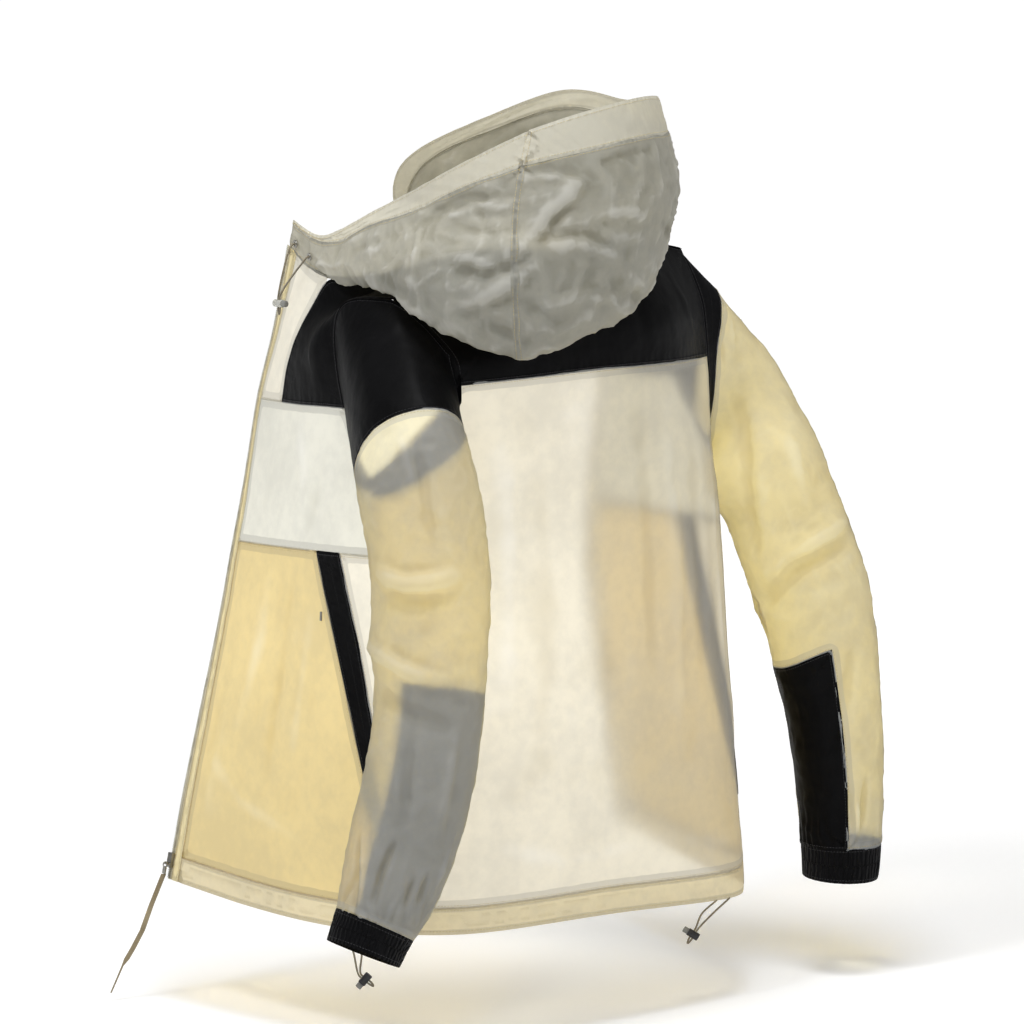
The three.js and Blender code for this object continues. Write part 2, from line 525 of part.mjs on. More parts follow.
function cord(name, points, steps) {
  const ring = Array.from({ length: CORD_SIDES }, (_, k) => {
    const angle = 2 * Math.PI * k / CORD_SIDES;
    return new THREE.Vector2(CORD / 2 * Math.cos(angle), CORD / 2 * Math.sin(angle));
  });
  const extrudePath = new THREE.CatmullRomCurve3(points, false, 'centripetal');
  add(name, new THREE.ExtrudeGeometry(new THREE.Shape(ring), { steps, extrudePath }), colours.cord);
}

// A barrel stop: its button lies along axis, and the two legs of the cord run through it along through.
const STOP = { radius: 4, length: 12, buttonRadius: 3.2, buttonLength: 5, hole: CORD + 0.8, apart: CORD + 0.5 };
function cordStop(name, centre, axis, through, withEnd) {
  const a = vec(axis).normalize();
  const b = vec(through);
  b.addScaledVector(a, -b.dot(a)).normalize();
  const basis = [b, new THREE.Vector3().crossVectors(a, b), a];
  const c = vec(centre);
  const slot = block([30, STOP.hole, STOP.apart + CORD + 0.8], [0, 0, 0]);
  add(`${name}_barrel`, placed(fromManifold(rod(STOP.radius, STOP.length, 20).subtract(slot)), basis, c), colours.stop);
  const button = rod(STOP.buttonRadius, STOP.buttonLength, 16)
    .translate([0, 0, STOP.length / 2 + STOP.buttonLength / 2 + GAP]);
  add(`${name}_button`, placed(fromManifold(button), basis, c), withEnd ? colours.black : colours.stop);
  return { c, axis: a, through: b };
}

// Cord from one outlet through a stop, round its end loop and back to the other outlet.
function loopCord(name, first, second, stop, steps) {
  const side = (sign, along) => stop.c.clone().addScaledVector(stop.axis, sign * STOP.apart / 2)
    .addScaledVector(stop.through, along);
  const tip = stop.c.clone().addScaledVector(stop.through, STOP.radius + 7);
  const down = STOP.radius + 3;
  cord(name, [...first, side(-1, -down), side(-1, 0), side(-1, down), tip, side(1, down), side(1, 0), side(1, -down),
    ...second.reverse()], steps);
}

function eyelet(name, cloth, s, t) {
  const { spot, basis } = clothBasis(cloth, s, t);
  const ring = rod(4, 1, 20).subtract(rod(2.1, 3, 16)).rotate([90, 0, 0]).translate([0, 0.8 + GAP, 0]);
  add(name, placed(fromManifold(ring), basis, spot), colours.stop);
  const beyond = (amount, lower) => spot.clone().addScaledVector(basis[1], amount).add(new THREE.Vector3(0, 0, -lower));
  return [beyond(1.3, 0), beyond(2.4, 0), beyond(3.6, 0), beyond(7, 3)];
}

// Both legs of a hood cord leave the front end of the hood and hang to a stop.
function hoodCord(tag, near, far, centre, sign) {
  const first = eyelet(`hood_eyelet_front_${tag}`, hoodCloth, ...near);
  const second = eyelet(`hood_eyelet_back_${tag}`, hoodCloth, ...far);
  const stop = cordStop(`hood_stop_${tag}`, centre, [0, sign, 0], [0, 0, -1], false);
  loopCord(`hood_cord_${tag}`, first, second, stop, 36);
}
hoodCord('left', [0.018, 0.6], [0.05, 0.5], [188, -176, -78], 1);
hoodCord('right', [0.985, 0.42], [0.985, 0.56], [-56, -214, -74], -1);

// Both legs of a hem cord leave the lower edge of the hem casing.
function hemCord(tag, { at, normal }, outlets, middles, centre, axis, through) {
  const legs = outlets.map((s, k) => {
    const start = at(s, 1).addScaledVector(normal(s, 1), -WALL / 2).add(new THREE.Vector3(0, 0, -0.5));
    return [start, vec(middles[k])];
  });
  const stop = cordStop(`hem_stop_${tag}`, centre, axis, through, true);
  loopCord(`hem_cord_${tag}`, legs[0], legs[1], stop, 30);
}
hemCord('right', backCloth, [0.745, 0.705], [[-154, 99, -704], [-139, 98, -703]],
  [-133, 92, -724], [12, -11, 10], [0.385, -0.353, -0.853]);
hemCord('left', leftCloth, [0.89, 0.855], [[241, 10, -705], [245, 2, -705]],
  [238, 12, -732], [9, -8, -14], [-0.566, 0.503, -0.655]);

// Zip slider at the foot of the left front, with a bar that carries the pull ring.
const SLIDER = { width: 7, depth: 3.6, height: 15, barOut: 7.6, barUp: -4, bar: 0.7 };
const RING = { radius: 2.6, tube: 0.7 };
const zip = clothBasis(leftCloth, 0.006, 0.975);
const post = (x) => block([1.2, SLIDER.barOut + 0.7 - 3, 1.8], [x, (SLIDER.barOut + 0.7 + 3) / 2, SLIDER.barUp]);
const sliderSolid = block([SLIDER.width, SLIDER.depth, SLIDER.height], [0, GAP + SLIDER.depth / 2, 0])
  .add(post(-2.5)).add(post(2.5))
  .add(rod(SLIDER.bar, 5.4, 12).rotate([0, 90, 0]).translate([0, SLIDER.barOut, SLIDER.barUp]));
add('zip_slider', placed(fromManifold(sliderSolid), zip.basis, zip.spot), colours.metal);

// The pull hangs from the bar: a ring with a short tab, and a ribbon tail that follows it.
const ringDrop = RING.radius - RING.tube - SLIDER.bar - 0.25;
const ringUp = SLIDER.barUp - ringDrop;
const circle = Array.from({ length: 10 }, (_, k) => {
  const angle = 2 * Math.PI * k / 10;
  return [RING.radius + RING.tube * Math.cos(angle), RING.tube * Math.sin(angle)];
});
const pullSolid = kernel.Manifold.revolve(new kernel.CrossSection([circle]), 20)
  .rotate([0, 90, 0]).translate([0, SLIDER.barOut, ringUp])
  .add(block([4.6, 1.6, 7], [0, SLIDER.barOut, ringUp - RING.radius - 3.3]));
add('zip_pull', placed(fromManifold(pullSolid), zip.basis, zip.spot), colours.metal);

// The ribbon: centre line, half width and half thickness at each point.
const tabEnd = new THREE.Vector3(0, SLIDER.barOut, ringUp - RING.radius - 7.2)
  .applyMatrix4(new THREE.Matrix4().makeBasis(...zip.basis)).add(zip.spot);
const ribbonPath = [
  { at: tabEnd.toArray(), half: 2.6 }, { at: [272, -283, -695], half: 2.6 }, { at: [279, -289, -721], half: 2.7 },
  { at: [286, -296, -740], half: 2.8 }, { at: [291, -300, -751], half: 2.8 }, { at: [294, -303, -758], half: 1.0 },
  { at: [303, -311, -786], half: 0.8 },
];
function ribbon(name, path, half, colour) {
  const wide = vec([-0.743, 0.669, 0]);
  const corners = path.map((row, k) => {
    const before = vec(path[Math.max(k - 1, 0)].at);
    const after = vec(path[Math.min(k + 1, path.length - 1)].at);
    const thick = after.sub(before).cross(wide).normalize().multiplyScalar(half);
    const across = wide.clone().multiplyScalar(row.half);
    const centre = vec(row.at);
    return [[1, 1], [-1, 1], [-1, -1], [1, -1]].map(([p, q]) => centre.clone()
      .addScaledVector(across, p).addScaledVector(thick, q));
  });
  const positions = corners.flat().flatMap((p) => p.toArray());
  const triangles = [];
  const quad = (a, b, c, d) => triangles.push(a, b, c, a, c, d);
  corners.slice(1).forEach((_, i) => {
    for (let j = 0; j < 4; j += 1) {
      const [a, b] = [4 * i + j, 4 * i + (j + 1) % 4];
      quad(a, b, b + 4, a + 4);
    }
  });
  const end = 4 * (corners.length - 1);
  quad(3, 2, 1, 0);
  quad(end, end + 1, end + 2, end + 3);
  add(name, meshGeometry(positions, triangles), colour);
}
ribbon('zip_tail', ribbonPath, 0.5, colours.ribbon);

// A small pull on each slanted pocket zip.
for (const [tag, cloth] of [['left', leftCloth], ['right', rightCloth]]) {
  const { spot, basis } = clothBasis(cloth, 0.745, 0.662);
  add(`pocket_pull_${tag}`, placed(fromManifold(block([2.2, 1.6, 9], [0, 0.8 + GAP, 0])), basis, spot), colours.stop);
}

export default jacket;
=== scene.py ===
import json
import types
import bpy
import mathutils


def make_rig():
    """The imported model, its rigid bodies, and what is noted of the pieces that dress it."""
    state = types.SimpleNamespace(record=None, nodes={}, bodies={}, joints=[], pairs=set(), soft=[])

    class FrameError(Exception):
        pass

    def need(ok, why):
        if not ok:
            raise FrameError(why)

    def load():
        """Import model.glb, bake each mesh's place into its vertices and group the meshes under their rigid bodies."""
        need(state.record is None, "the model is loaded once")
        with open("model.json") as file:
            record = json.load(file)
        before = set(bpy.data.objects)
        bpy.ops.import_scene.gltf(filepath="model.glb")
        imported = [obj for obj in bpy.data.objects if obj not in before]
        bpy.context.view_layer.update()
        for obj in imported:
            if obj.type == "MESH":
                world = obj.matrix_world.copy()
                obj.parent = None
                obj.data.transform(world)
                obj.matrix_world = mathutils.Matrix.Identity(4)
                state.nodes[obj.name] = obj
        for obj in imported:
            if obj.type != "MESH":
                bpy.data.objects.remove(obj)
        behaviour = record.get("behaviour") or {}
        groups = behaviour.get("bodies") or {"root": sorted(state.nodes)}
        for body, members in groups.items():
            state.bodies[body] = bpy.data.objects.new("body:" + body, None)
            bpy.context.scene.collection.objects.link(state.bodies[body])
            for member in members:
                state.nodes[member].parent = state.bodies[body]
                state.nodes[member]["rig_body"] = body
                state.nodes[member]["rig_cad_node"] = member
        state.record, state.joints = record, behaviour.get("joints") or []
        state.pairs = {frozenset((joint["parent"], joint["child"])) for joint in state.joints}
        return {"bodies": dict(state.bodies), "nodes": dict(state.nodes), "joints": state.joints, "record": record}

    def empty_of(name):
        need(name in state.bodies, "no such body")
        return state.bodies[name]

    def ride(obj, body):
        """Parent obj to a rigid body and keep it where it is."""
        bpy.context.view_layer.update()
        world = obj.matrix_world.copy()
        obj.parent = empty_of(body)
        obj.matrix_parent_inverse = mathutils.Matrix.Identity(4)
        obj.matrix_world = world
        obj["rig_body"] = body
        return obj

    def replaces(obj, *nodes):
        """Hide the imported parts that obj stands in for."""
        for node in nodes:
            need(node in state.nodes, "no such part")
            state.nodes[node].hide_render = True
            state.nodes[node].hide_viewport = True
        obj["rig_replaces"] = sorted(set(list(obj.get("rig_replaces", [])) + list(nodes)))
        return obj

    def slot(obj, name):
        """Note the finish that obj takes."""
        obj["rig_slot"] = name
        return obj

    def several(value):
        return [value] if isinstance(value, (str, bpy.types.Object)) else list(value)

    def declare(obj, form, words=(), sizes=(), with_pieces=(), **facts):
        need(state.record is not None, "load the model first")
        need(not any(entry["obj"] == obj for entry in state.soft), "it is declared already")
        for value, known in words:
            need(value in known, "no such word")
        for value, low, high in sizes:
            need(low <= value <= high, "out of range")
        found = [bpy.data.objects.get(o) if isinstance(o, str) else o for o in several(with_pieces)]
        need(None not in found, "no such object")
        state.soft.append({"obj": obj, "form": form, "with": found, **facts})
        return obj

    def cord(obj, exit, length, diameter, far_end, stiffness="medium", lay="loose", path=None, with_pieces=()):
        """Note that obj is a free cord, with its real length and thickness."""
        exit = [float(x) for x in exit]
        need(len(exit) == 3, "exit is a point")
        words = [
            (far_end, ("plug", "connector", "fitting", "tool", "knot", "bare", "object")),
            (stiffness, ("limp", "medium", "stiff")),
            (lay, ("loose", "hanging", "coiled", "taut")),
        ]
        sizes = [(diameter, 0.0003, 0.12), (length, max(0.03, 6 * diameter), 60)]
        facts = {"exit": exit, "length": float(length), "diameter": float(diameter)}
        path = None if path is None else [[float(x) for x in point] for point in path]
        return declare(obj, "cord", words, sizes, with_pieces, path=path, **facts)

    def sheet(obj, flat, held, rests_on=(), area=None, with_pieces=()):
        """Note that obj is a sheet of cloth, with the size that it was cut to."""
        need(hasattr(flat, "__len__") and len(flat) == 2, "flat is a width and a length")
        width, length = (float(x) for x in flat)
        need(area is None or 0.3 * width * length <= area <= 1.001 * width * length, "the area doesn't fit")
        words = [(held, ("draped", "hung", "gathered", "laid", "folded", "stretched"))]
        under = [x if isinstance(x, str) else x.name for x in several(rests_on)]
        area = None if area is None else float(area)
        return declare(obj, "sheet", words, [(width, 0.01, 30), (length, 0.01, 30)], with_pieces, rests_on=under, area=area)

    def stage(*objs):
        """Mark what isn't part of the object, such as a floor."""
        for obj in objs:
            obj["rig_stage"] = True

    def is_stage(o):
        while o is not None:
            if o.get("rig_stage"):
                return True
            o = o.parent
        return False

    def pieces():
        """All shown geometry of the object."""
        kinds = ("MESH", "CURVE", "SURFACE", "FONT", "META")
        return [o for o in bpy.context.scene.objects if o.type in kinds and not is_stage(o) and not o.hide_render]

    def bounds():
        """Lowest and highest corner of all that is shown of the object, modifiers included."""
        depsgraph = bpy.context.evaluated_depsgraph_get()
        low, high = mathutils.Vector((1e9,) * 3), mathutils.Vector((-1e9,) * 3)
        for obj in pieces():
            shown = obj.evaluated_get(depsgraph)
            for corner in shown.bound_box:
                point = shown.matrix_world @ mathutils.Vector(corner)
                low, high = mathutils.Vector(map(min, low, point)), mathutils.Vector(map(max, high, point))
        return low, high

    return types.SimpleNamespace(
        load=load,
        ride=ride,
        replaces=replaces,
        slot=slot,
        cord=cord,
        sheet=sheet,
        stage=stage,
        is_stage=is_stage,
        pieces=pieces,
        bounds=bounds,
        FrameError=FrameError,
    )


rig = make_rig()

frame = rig.load()

import json
import math

import bmesh
import bpy
import numpy as np
from mathutils import Vector, kdtree, noise
from mathutils.bvhtree import BVHTree

MM = 0.001
start_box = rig.bounds()
nodes = frame["nodes"]

# Camera at the photo's angle: azimuth 138, elevation 7 degrees, 1 mm a pixel at the neck.
AZIMUTH = math.radians(42)
ELEVATION = math.radians(7)
CAMERA_DISTANCE = 6.0
FRAME_WIDTH = 1.024
AIM_LEFT = 0.024
AIM_DOWN = 0.286
FLOOR_Z = -0.795

# Cloth.
RIM_ANGLE = math.radians(55)
SLIVER = 0.45 * MM
ALLOWANCE = 8 * MM
STITCH_PITCH = 3.2 * MM
STITCH_LENGTH = 2.5 * MM
STITCH_WIDTH = 0.5 * MM
STITCH_INSET = 2.2 * MM
TUCK = 1.3 * MM


def place_camera():
    toward = Vector((
        math.sin(AZIMUTH) * math.cos(ELEVATION),
        math.cos(AZIMUTH) * math.cos(ELEVATION),
        math.sin(ELEVATION),
    ))
    right = Vector((-math.cos(AZIMUTH), math.sin(AZIMUTH), 0))
    up = toward.cross(right)
    aim = -AIM_LEFT * right - AIM_DOWN * up
    data = bpy.data.cameras.new("photo_camera")
    camera = bpy.data.objects.new("photo_camera", data)
    bpy.context.scene.collection.objects.link(camera)
    camera.location = aim + CAMERA_DISTANCE * toward
    camera.rotation_euler = toward.to_track_quat("Z", "Y").to_euler()
    data.sensor_width = 36
    data.lens = 36 * CAMERA_DISTANCE / FRAME_WIDTH
    bpy.context.scene.camera = camera


place_camera()


# Meshes.

def deselect():
    bpy.ops.object.select_all(action="DESELECT")


def only(piece):
    deselect()
    piece.select_set(True)
    bpy.context.view_layer.objects.active = piece


def new_piece(name, vertices, faces, material, uvs=None):
    """A smooth-shaded mesh object; uvs holds one (u, v) for each vertex."""
    mesh = bpy.data.meshes.new(name)
    mesh.from_pydata([tuple(v) for v in vertices], [], [tuple(f) for f in faces])
    mesh.update()
    piece = bpy.data.objects.new(name, mesh)
    bpy.context.scene.collection.objects.link(piece)
    mesh.materials.append(material)
    mesh.shade_smooth()
    if uvs is not None:
        set_map(piece, "UVMap", uvs)
    return piece


def set_map(piece, name, uvs):
    mesh = piece.data
    layer = mesh.uv_layers.get(name) or mesh.uv_layers.new(name=name)
    loops = np.empty(len(mesh.loops), int)
    mesh.loops.foreach_get("vertex_index", loops)
    layer.data.foreach_set("uv", np.asarray(uvs, float)[loops].ravel())


def points_of(piece):
    co = np.empty(len(piece.data.vertices) * 3)
    piece.data.vertices.foreach_get("co", co)
    return co.reshape(-1, 3)


def normals_of(piece):
    no = np.empty(len(piece.data.vertices) * 3)
    piece.data.vertex_normals.foreach_get("vector", no)
    return no.reshape(-1, 3)


def move_points(piece, co):
    piece.data.vertices.foreach_set("co", np.asarray(co, float).ravel())
    piece.data.update()


def apply_modifier(piece, kind, **settings):
    only(piece)
    modifier = piece.modifiers.new(kind.lower(), kind)
    for key, value in settings.items():
        setattr(modifier, key, value)
    bpy.ops.object.modifier_apply(modifier=modifier.name)


# The outer layer of a thin CAD wall, as quads. away(centre, normal) is above 0 where a face looks outwards.

def smooth_regions(shape):
    """Faces in groups that meet without a sharp edge: outer face, inner face and rims of a wall."""
    left = set(shape.faces)
    regions = []
    while left:
        region, waiting = [], [left.pop()]
        while waiting:
            face = waiting.pop()
            region.append(face)
            for edge in face.edges:
                if len(edge.link_faces) != 2 or edge.calc_face_angle(math.pi) > RIM_ANGLE:
                    continue
                for other in edge.link_faces:
                    if other in left:
                        left.discard(other)
                        waiting.append(other)
        regions.append(region)
    return regions


def outer_layer(node, away):
    shape = bmesh.new()
    shape.from_mesh(nodes[node].data)
    bmesh.ops.remove_doubles(shape, verts=shape.verts, dist=1e-5)
    shape.normal_update()

    def facing(region):
        return sum(away(f.calc_center_median(), f.normal) * f.calc_area() for f in region)

    outer = set(max(smooth_regions(shape), key=facing))
    bmesh.ops.delete(shape, geom=[f for f in shape.faces if f not in outer], context="FACES")
    bmesh.ops.remove_doubles(shape, verts=shape.verts, dist=SLIVER)
    bmesh.ops.dissolve_degenerate(shape, edges=shape.edges, dist=1e-5)
    bmesh.ops.join_triangles(
        shape, faces=shape.faces, cmp_seam=False, cmp_sharp=False, cmp_uvs=False, cmp_vcols=False,
        cmp_materials=False, angle_face_threshold=math.pi, angle_shape_threshold=math.pi)
    bmesh.ops.recalc_face_normals(shape, faces=shape.faces)
    if facing(shape.faces) < 0:
        bmesh.ops.reverse_faces(shape, faces=shape.faces)
    mesh = bpy.data.meshes.new(node + "_cloth")
    shape.to_mesh(mesh)
    shape.free()
    piece = bpy.data.objects.new(node + "_cloth", mesh)
    bpy.context.scene.collection.objects.link(piece)
    return piece


def from_point(x, y, z):
    middle = Vector((x, y, z))
    return lambda centre, normal: (centre - middle).dot(normal)


def axis_of(node):
    """Middle of a sleeve node at each height, from its own points."""
    co = points_of(nodes[node])
    heights = np.linspace(co[:, 2].min(), co[:, 2].max(), 25)
    step = heights[1] - heights[0]
    middles = []
    for z in heights:
        near = co[np.abs(co[:, 2] - z) < max(1.3 * step, 12 * MM)]
        middles.append((near[:, :2].max(0) + near[:, :2].min(0)) / 2)
    middles = np.array(middles)
    return lambda z: (np.interp(z, heights, middles[:, 0]), np.interp(z, heights, middles[:, 1]))


def from_axis(axis):
    def away(centre, normal):
        x, y = axis(centre.z)
        return (centre - Vector((x, y, centre.z))).dot(normal)
    return away


# Charts: a piece's own flat coordinates in metres, for weave, gathers and stitches.

def chart_across(co):
    return np.column_stack([co[:, 0], co[:, 2]])


def chart_side(co):
    return np.column_stack([co[:, 1], co[:, 2]])


def chart_round(axis, radius):
    def chart(co):
        x, y = axis(co[:, 2])
        turn = np.arctan2(co[:, 1] - y, co[:, 0] - x)
        return np.column_stack([turn * radius, co[:, 2]])
    return chart


def chart_hood(co):
    turn = np.arctan2(co[:, 1] - 0.02, co[:, 0] - 0.03)
    return np.column_stack([turn * 0.17, co[:, 2]])


# Folds. Each has points in mm near the cloth, a width and a depth in mm; a ridge stands out, a trough goes in.

LEFT_SLEEVE_FOLDS = [
    {"path": [(301, 110, -312), (295, 138, -319), (280, 158, -317), (262, 169, -312)], "width": 7, "depth": 2.6},
    {"path": [(303, 98, -340), (300, 122, -337), (287, 152, -339), (264, 169, -334)], "width": 9, "depth": -3.0},
    {"path": [(299, 82, -384), (301, 119, -395), (296, 144, -405), (275, 168, -414)], "width": 7, "depth": 3.0},
    {"path": [(302, 108, -428), (292, 150, -446), (270, 170, -458)], "width": 9, "depth": -2.4},
    {"path": [(280, 141, -197), (279, 152, -240), (276, 160, -290)], "width": 8, "depth": -1.6},
    {"path": [(284, 120, -184), (287, 140, -214), (284, 146, -250)], "width": 6, "depth": 1.4},
    {"path": [(262, 174, -471), (272, 171, -529), (277, 169, -558)], "width": 6, "depth": 1.6},
    {"path": [(298, 149, -465), (305, 150, -518), (306, 150, -548)], "width": 7, "depth": -1.5},
    {"path": [(317, 146, -570), (326, 140, -594), (333, 135, -624)], "width": 4, "depth": -3.2},
    {"path": [(329, 106, -566), (335, 113, -597), (341, 116, -630)], "width": 4, "depth": -2.8},
    {"path": [(338, 112, -602), (341, 98, -628)], "width": 3.5, "depth": -2.0},
    {"path": [(301, 159, -606), (309, 154, -630)], "width": 3.5, "depth": -2.0},
    {"path": [(287, 162, -602), (296, 158, -630)], "width": 3.5, "depth": -1.8},
    {"path": [(262, 164, -574), (276, 160, -622)], "width": 5, "depth": 1.6},
    {"path": [(196, 96, -322), (214, 64, -338), (240, 58, -352)], "width": 8, "depth": 2.4},
    {"path": [(194, 110, -352), (212, 76, -372), (242, 62, -384)], "width": 8, "depth": -2.6},
    {"path": [(200, 130, -404), (204, 90, -420), (230, 66, -430)], "width": 8, "depth": 2.0},
    {"path": [(212, 150, -440), (206, 112, -480), (216, 84, -500)], "width": 7, "depth": -1.8},
    {"path": [(262, 64, -580), (268, 68, -628)], "width": 4, "depth": -2.4},
    {"path": [(248, 90, -572), (262, 84, -626)], "width": 4, "depth": -2.2},
    {"path": [(210, 41, -70), (243, 21, -110), (268, 58, -152)], "width": 9, "depth": 1.6},
    {"path": [(212, 40, -82), (222, 78, -124), (248, 112, -152)], "width": 8, "depth": -1.6},
]
RIGHT_SLEEVE_FOLDS = [
    {"path": [(-339, 99, -315), (-314, 106, -326), (-288, 102, -337), (-264, 64, -368)], "width": 7, "depth": 2.8},
    {"path": [(-330, 106, -340), (-308, 110, -346), (-278, 97, -360), (-266, 66, -392)], "width": 9, "depth": -3.0},
    {"path": [(-271, 19, -200), (-256, 44, -271), (-258, 54, -340)], "width": 8, "depth": -2.0},
    {"path": [(-294, 65, -232), (-292, 91, -291)], "width": 9, "depth": 1.6},
    {"path": [(-272, 24, -396), (-277, 36, -404), (-283, 42, -432)], "width": 6, "depth": -3.0},
    {"path": [(-286, 56, -420), (-300, 100, -430)], "width": 6, "depth": 1.8},
    {"path": [(-320, 131, -435), (-314, 129, -497), (-305, 115, -545)], "width": 8, "depth": -1.6},
    {"path": [(-341, 133, -586), (-340, 129, -632)], "width": 4, "depth": -2.4},
    {"path": [(-325, 125, -596), (-327, 123, -634)], "width": 4, "depth": -2.4},
    {"path": [(-333, 130, -608), (-334, 127, -634)], "width": 3, "depth": 1.4},
    {"path": [(-368, 120, -590), (-370, 116, -632)], "width": 4, "depth": -2.0},
    {"path": [(-360, 46, -584), (-364, 50, -632)], "width": 4, "depth": -2.2},
    {"path": [(-330, 46, -592), (-330, 50, -632)], "width": 4, "depth": -2.0},
    {"path": [(-246, 14, -96), (-240, 26, -124)], "width": 4, "depth": -1.4},
    {"path": [(-254, 16, -108), (-250, 30, -142)], "width": 4, "depth": 1.4},
    {"path": [(-236, 24, -120), (-238, 30, -158)], "width": 4, "depth": -1.4},
    {"path": [(-300, 108, -462), (-290, 80, -474), (-286, 60, -470)], "width": 6, "depth": -1.6},
    {"path": [(-372, 66, -350), (-366, 30, -372), (-352, 12, -388)], "width": 8, "depth": -2.6},
    {"path": [(-380, 70, -386), (-368, 24, -404)], "width": 8, "depth": 2.2},
    {"path": [(-384, 80, -440), (-374, 34, -470)], "width": 9, "depth": -1.8},
    {"path": [(-356, -8, -200), (-366, 6, -290)], "width": 10, "depth": 1.8},
    {"path": [(-320, -60, -180), (-330, -36, -270)], "width": 9, "depth": -1.8},
]
HOOD_FOLDS = [
    {"path": [(206, 70, 20), (200, 90, 38), (192, 108, 46), (183, 128, 46)], "width": 6, "depth": -3.4},
    {"path": [(208, 90, 16), (200, 110, 31), (190, 127, 37), (172, 152, 37)], "width": 5, "depth": 2.6},
    {"path": [(166, 146, 58), (150, 158, 63), (130, 171, 63), (108, 181, 58)], "width": 5, "depth": 2.8},
    {"path": [(108, 182, 56), (131, 177, 39), (148, 171, 19), (166, 161, -2)], "width": 7, "depth": 3.0},
    {"path": [(120, 182, 36), (138, 176, 21), (146, 173, 6)], "width": 5, "depth": -2.8},
    {"path": [(151, 169, -3), (119, 183, 0), (88, 190, -8), (60, 191, -18)], "width": 5, "depth": 2.4},
    {"path": [(142, 174, 8), (111, 186, 12), (77, 192, -2)], "width": 5, "depth": -2.2},
    {"path": [(210, 114, -22), (196, 134, -28), (184, 147, -26), (160, 164, -14)], "width": 6, "depth": -3.4},
    {"path": [(214, 104, -14), (200, 127, -15), (188, 142, -20), (176, 153, -34)], "width": 4.5, "depth": 2.0},
    {"path": [(151, 169, -16), (165, 161, -32), (186, 144, -50), (213, 111, -64)], "width": 6, "depth": 2.6},
    {"path": [(212, 63, 12), (218, 66, -8), (220, 63, -45)], "width": 4, "depth": 2.0},
    {"path": [(187, 137, -79), (171, 149, -88), (154, 155, -96)], "width": 7, "depth": -2.0},
    {"path": [(58, 185, -40), (35, 178, -53), (1, 158, -68)], "width": 7, "depth": -1.8},
    {"path": [(84, 182, 76), (42, 184, 86), (0, 172, 84)], "width": 5, "depth": -2.0},
    {"path": [(199, 124, 13), (182, 149, 11), (164, 163, 15)], "width": 5, "depth": -1.6},
    {"path": [(101, 189, 26), (67, 195, 31), (23, 191, 22)], "width": 3.5, "depth": 1.4},
    {"path": [(96, 190, 16), (60, 194, 19), (21, 189, 10)], "width": 3.5, "depth": -1.3},
    {"path": [(92, 191, 6), (56, 194, 4), (18, 188, -4)], "width": 3.5, "depth": 1.2},
    {"path": [(208, -20, -42), (214, 38, -60), (213, 92, -80)], "width": 8, "depth": 1.8},
    {"path": [(127, 174, -56), (94, 182, -53), (53, 180, -59)], "width": 6, "depth": 1.6},
    {"path": [(176, 150, -50), (150, 166, -62), (126, 172, -76)], "width": 6, "depth": -1.6},
    {"path": [(216, 30, 6), (212, -10, -6), (204, -44, -14)], "width": 6, "depth": -1.6},
    {"path": [(-128, 66, 60), (-150, -6, 72), (-140, -70, 70)], "width": 8, "depth": 2.4},
    {"path": [(-126, 64, 30), (-148, -2, 28), (-146, -70, 26)], "width": 8, "depth": -2.4},
    {"path": [(-132, -60, 96), (-104, -112, 78), (-60, -146, 60)], "width": 7, "depth": 2.0},
    {"path": [(-20, 182, 60), (-56, 150, 66), (-100, 104, 70)], "width": 6, "depth": 2.0},
    {"path": [(-10, 180, 10), (-50, 142, 4), (-90, 100, 12)], "width": 6, "depth": -2.0},
    {"path": [(-110, -150, 20), (-70, -172, 18), (-20, -182, 26)], "width": 6, "depth": -1.6},
]
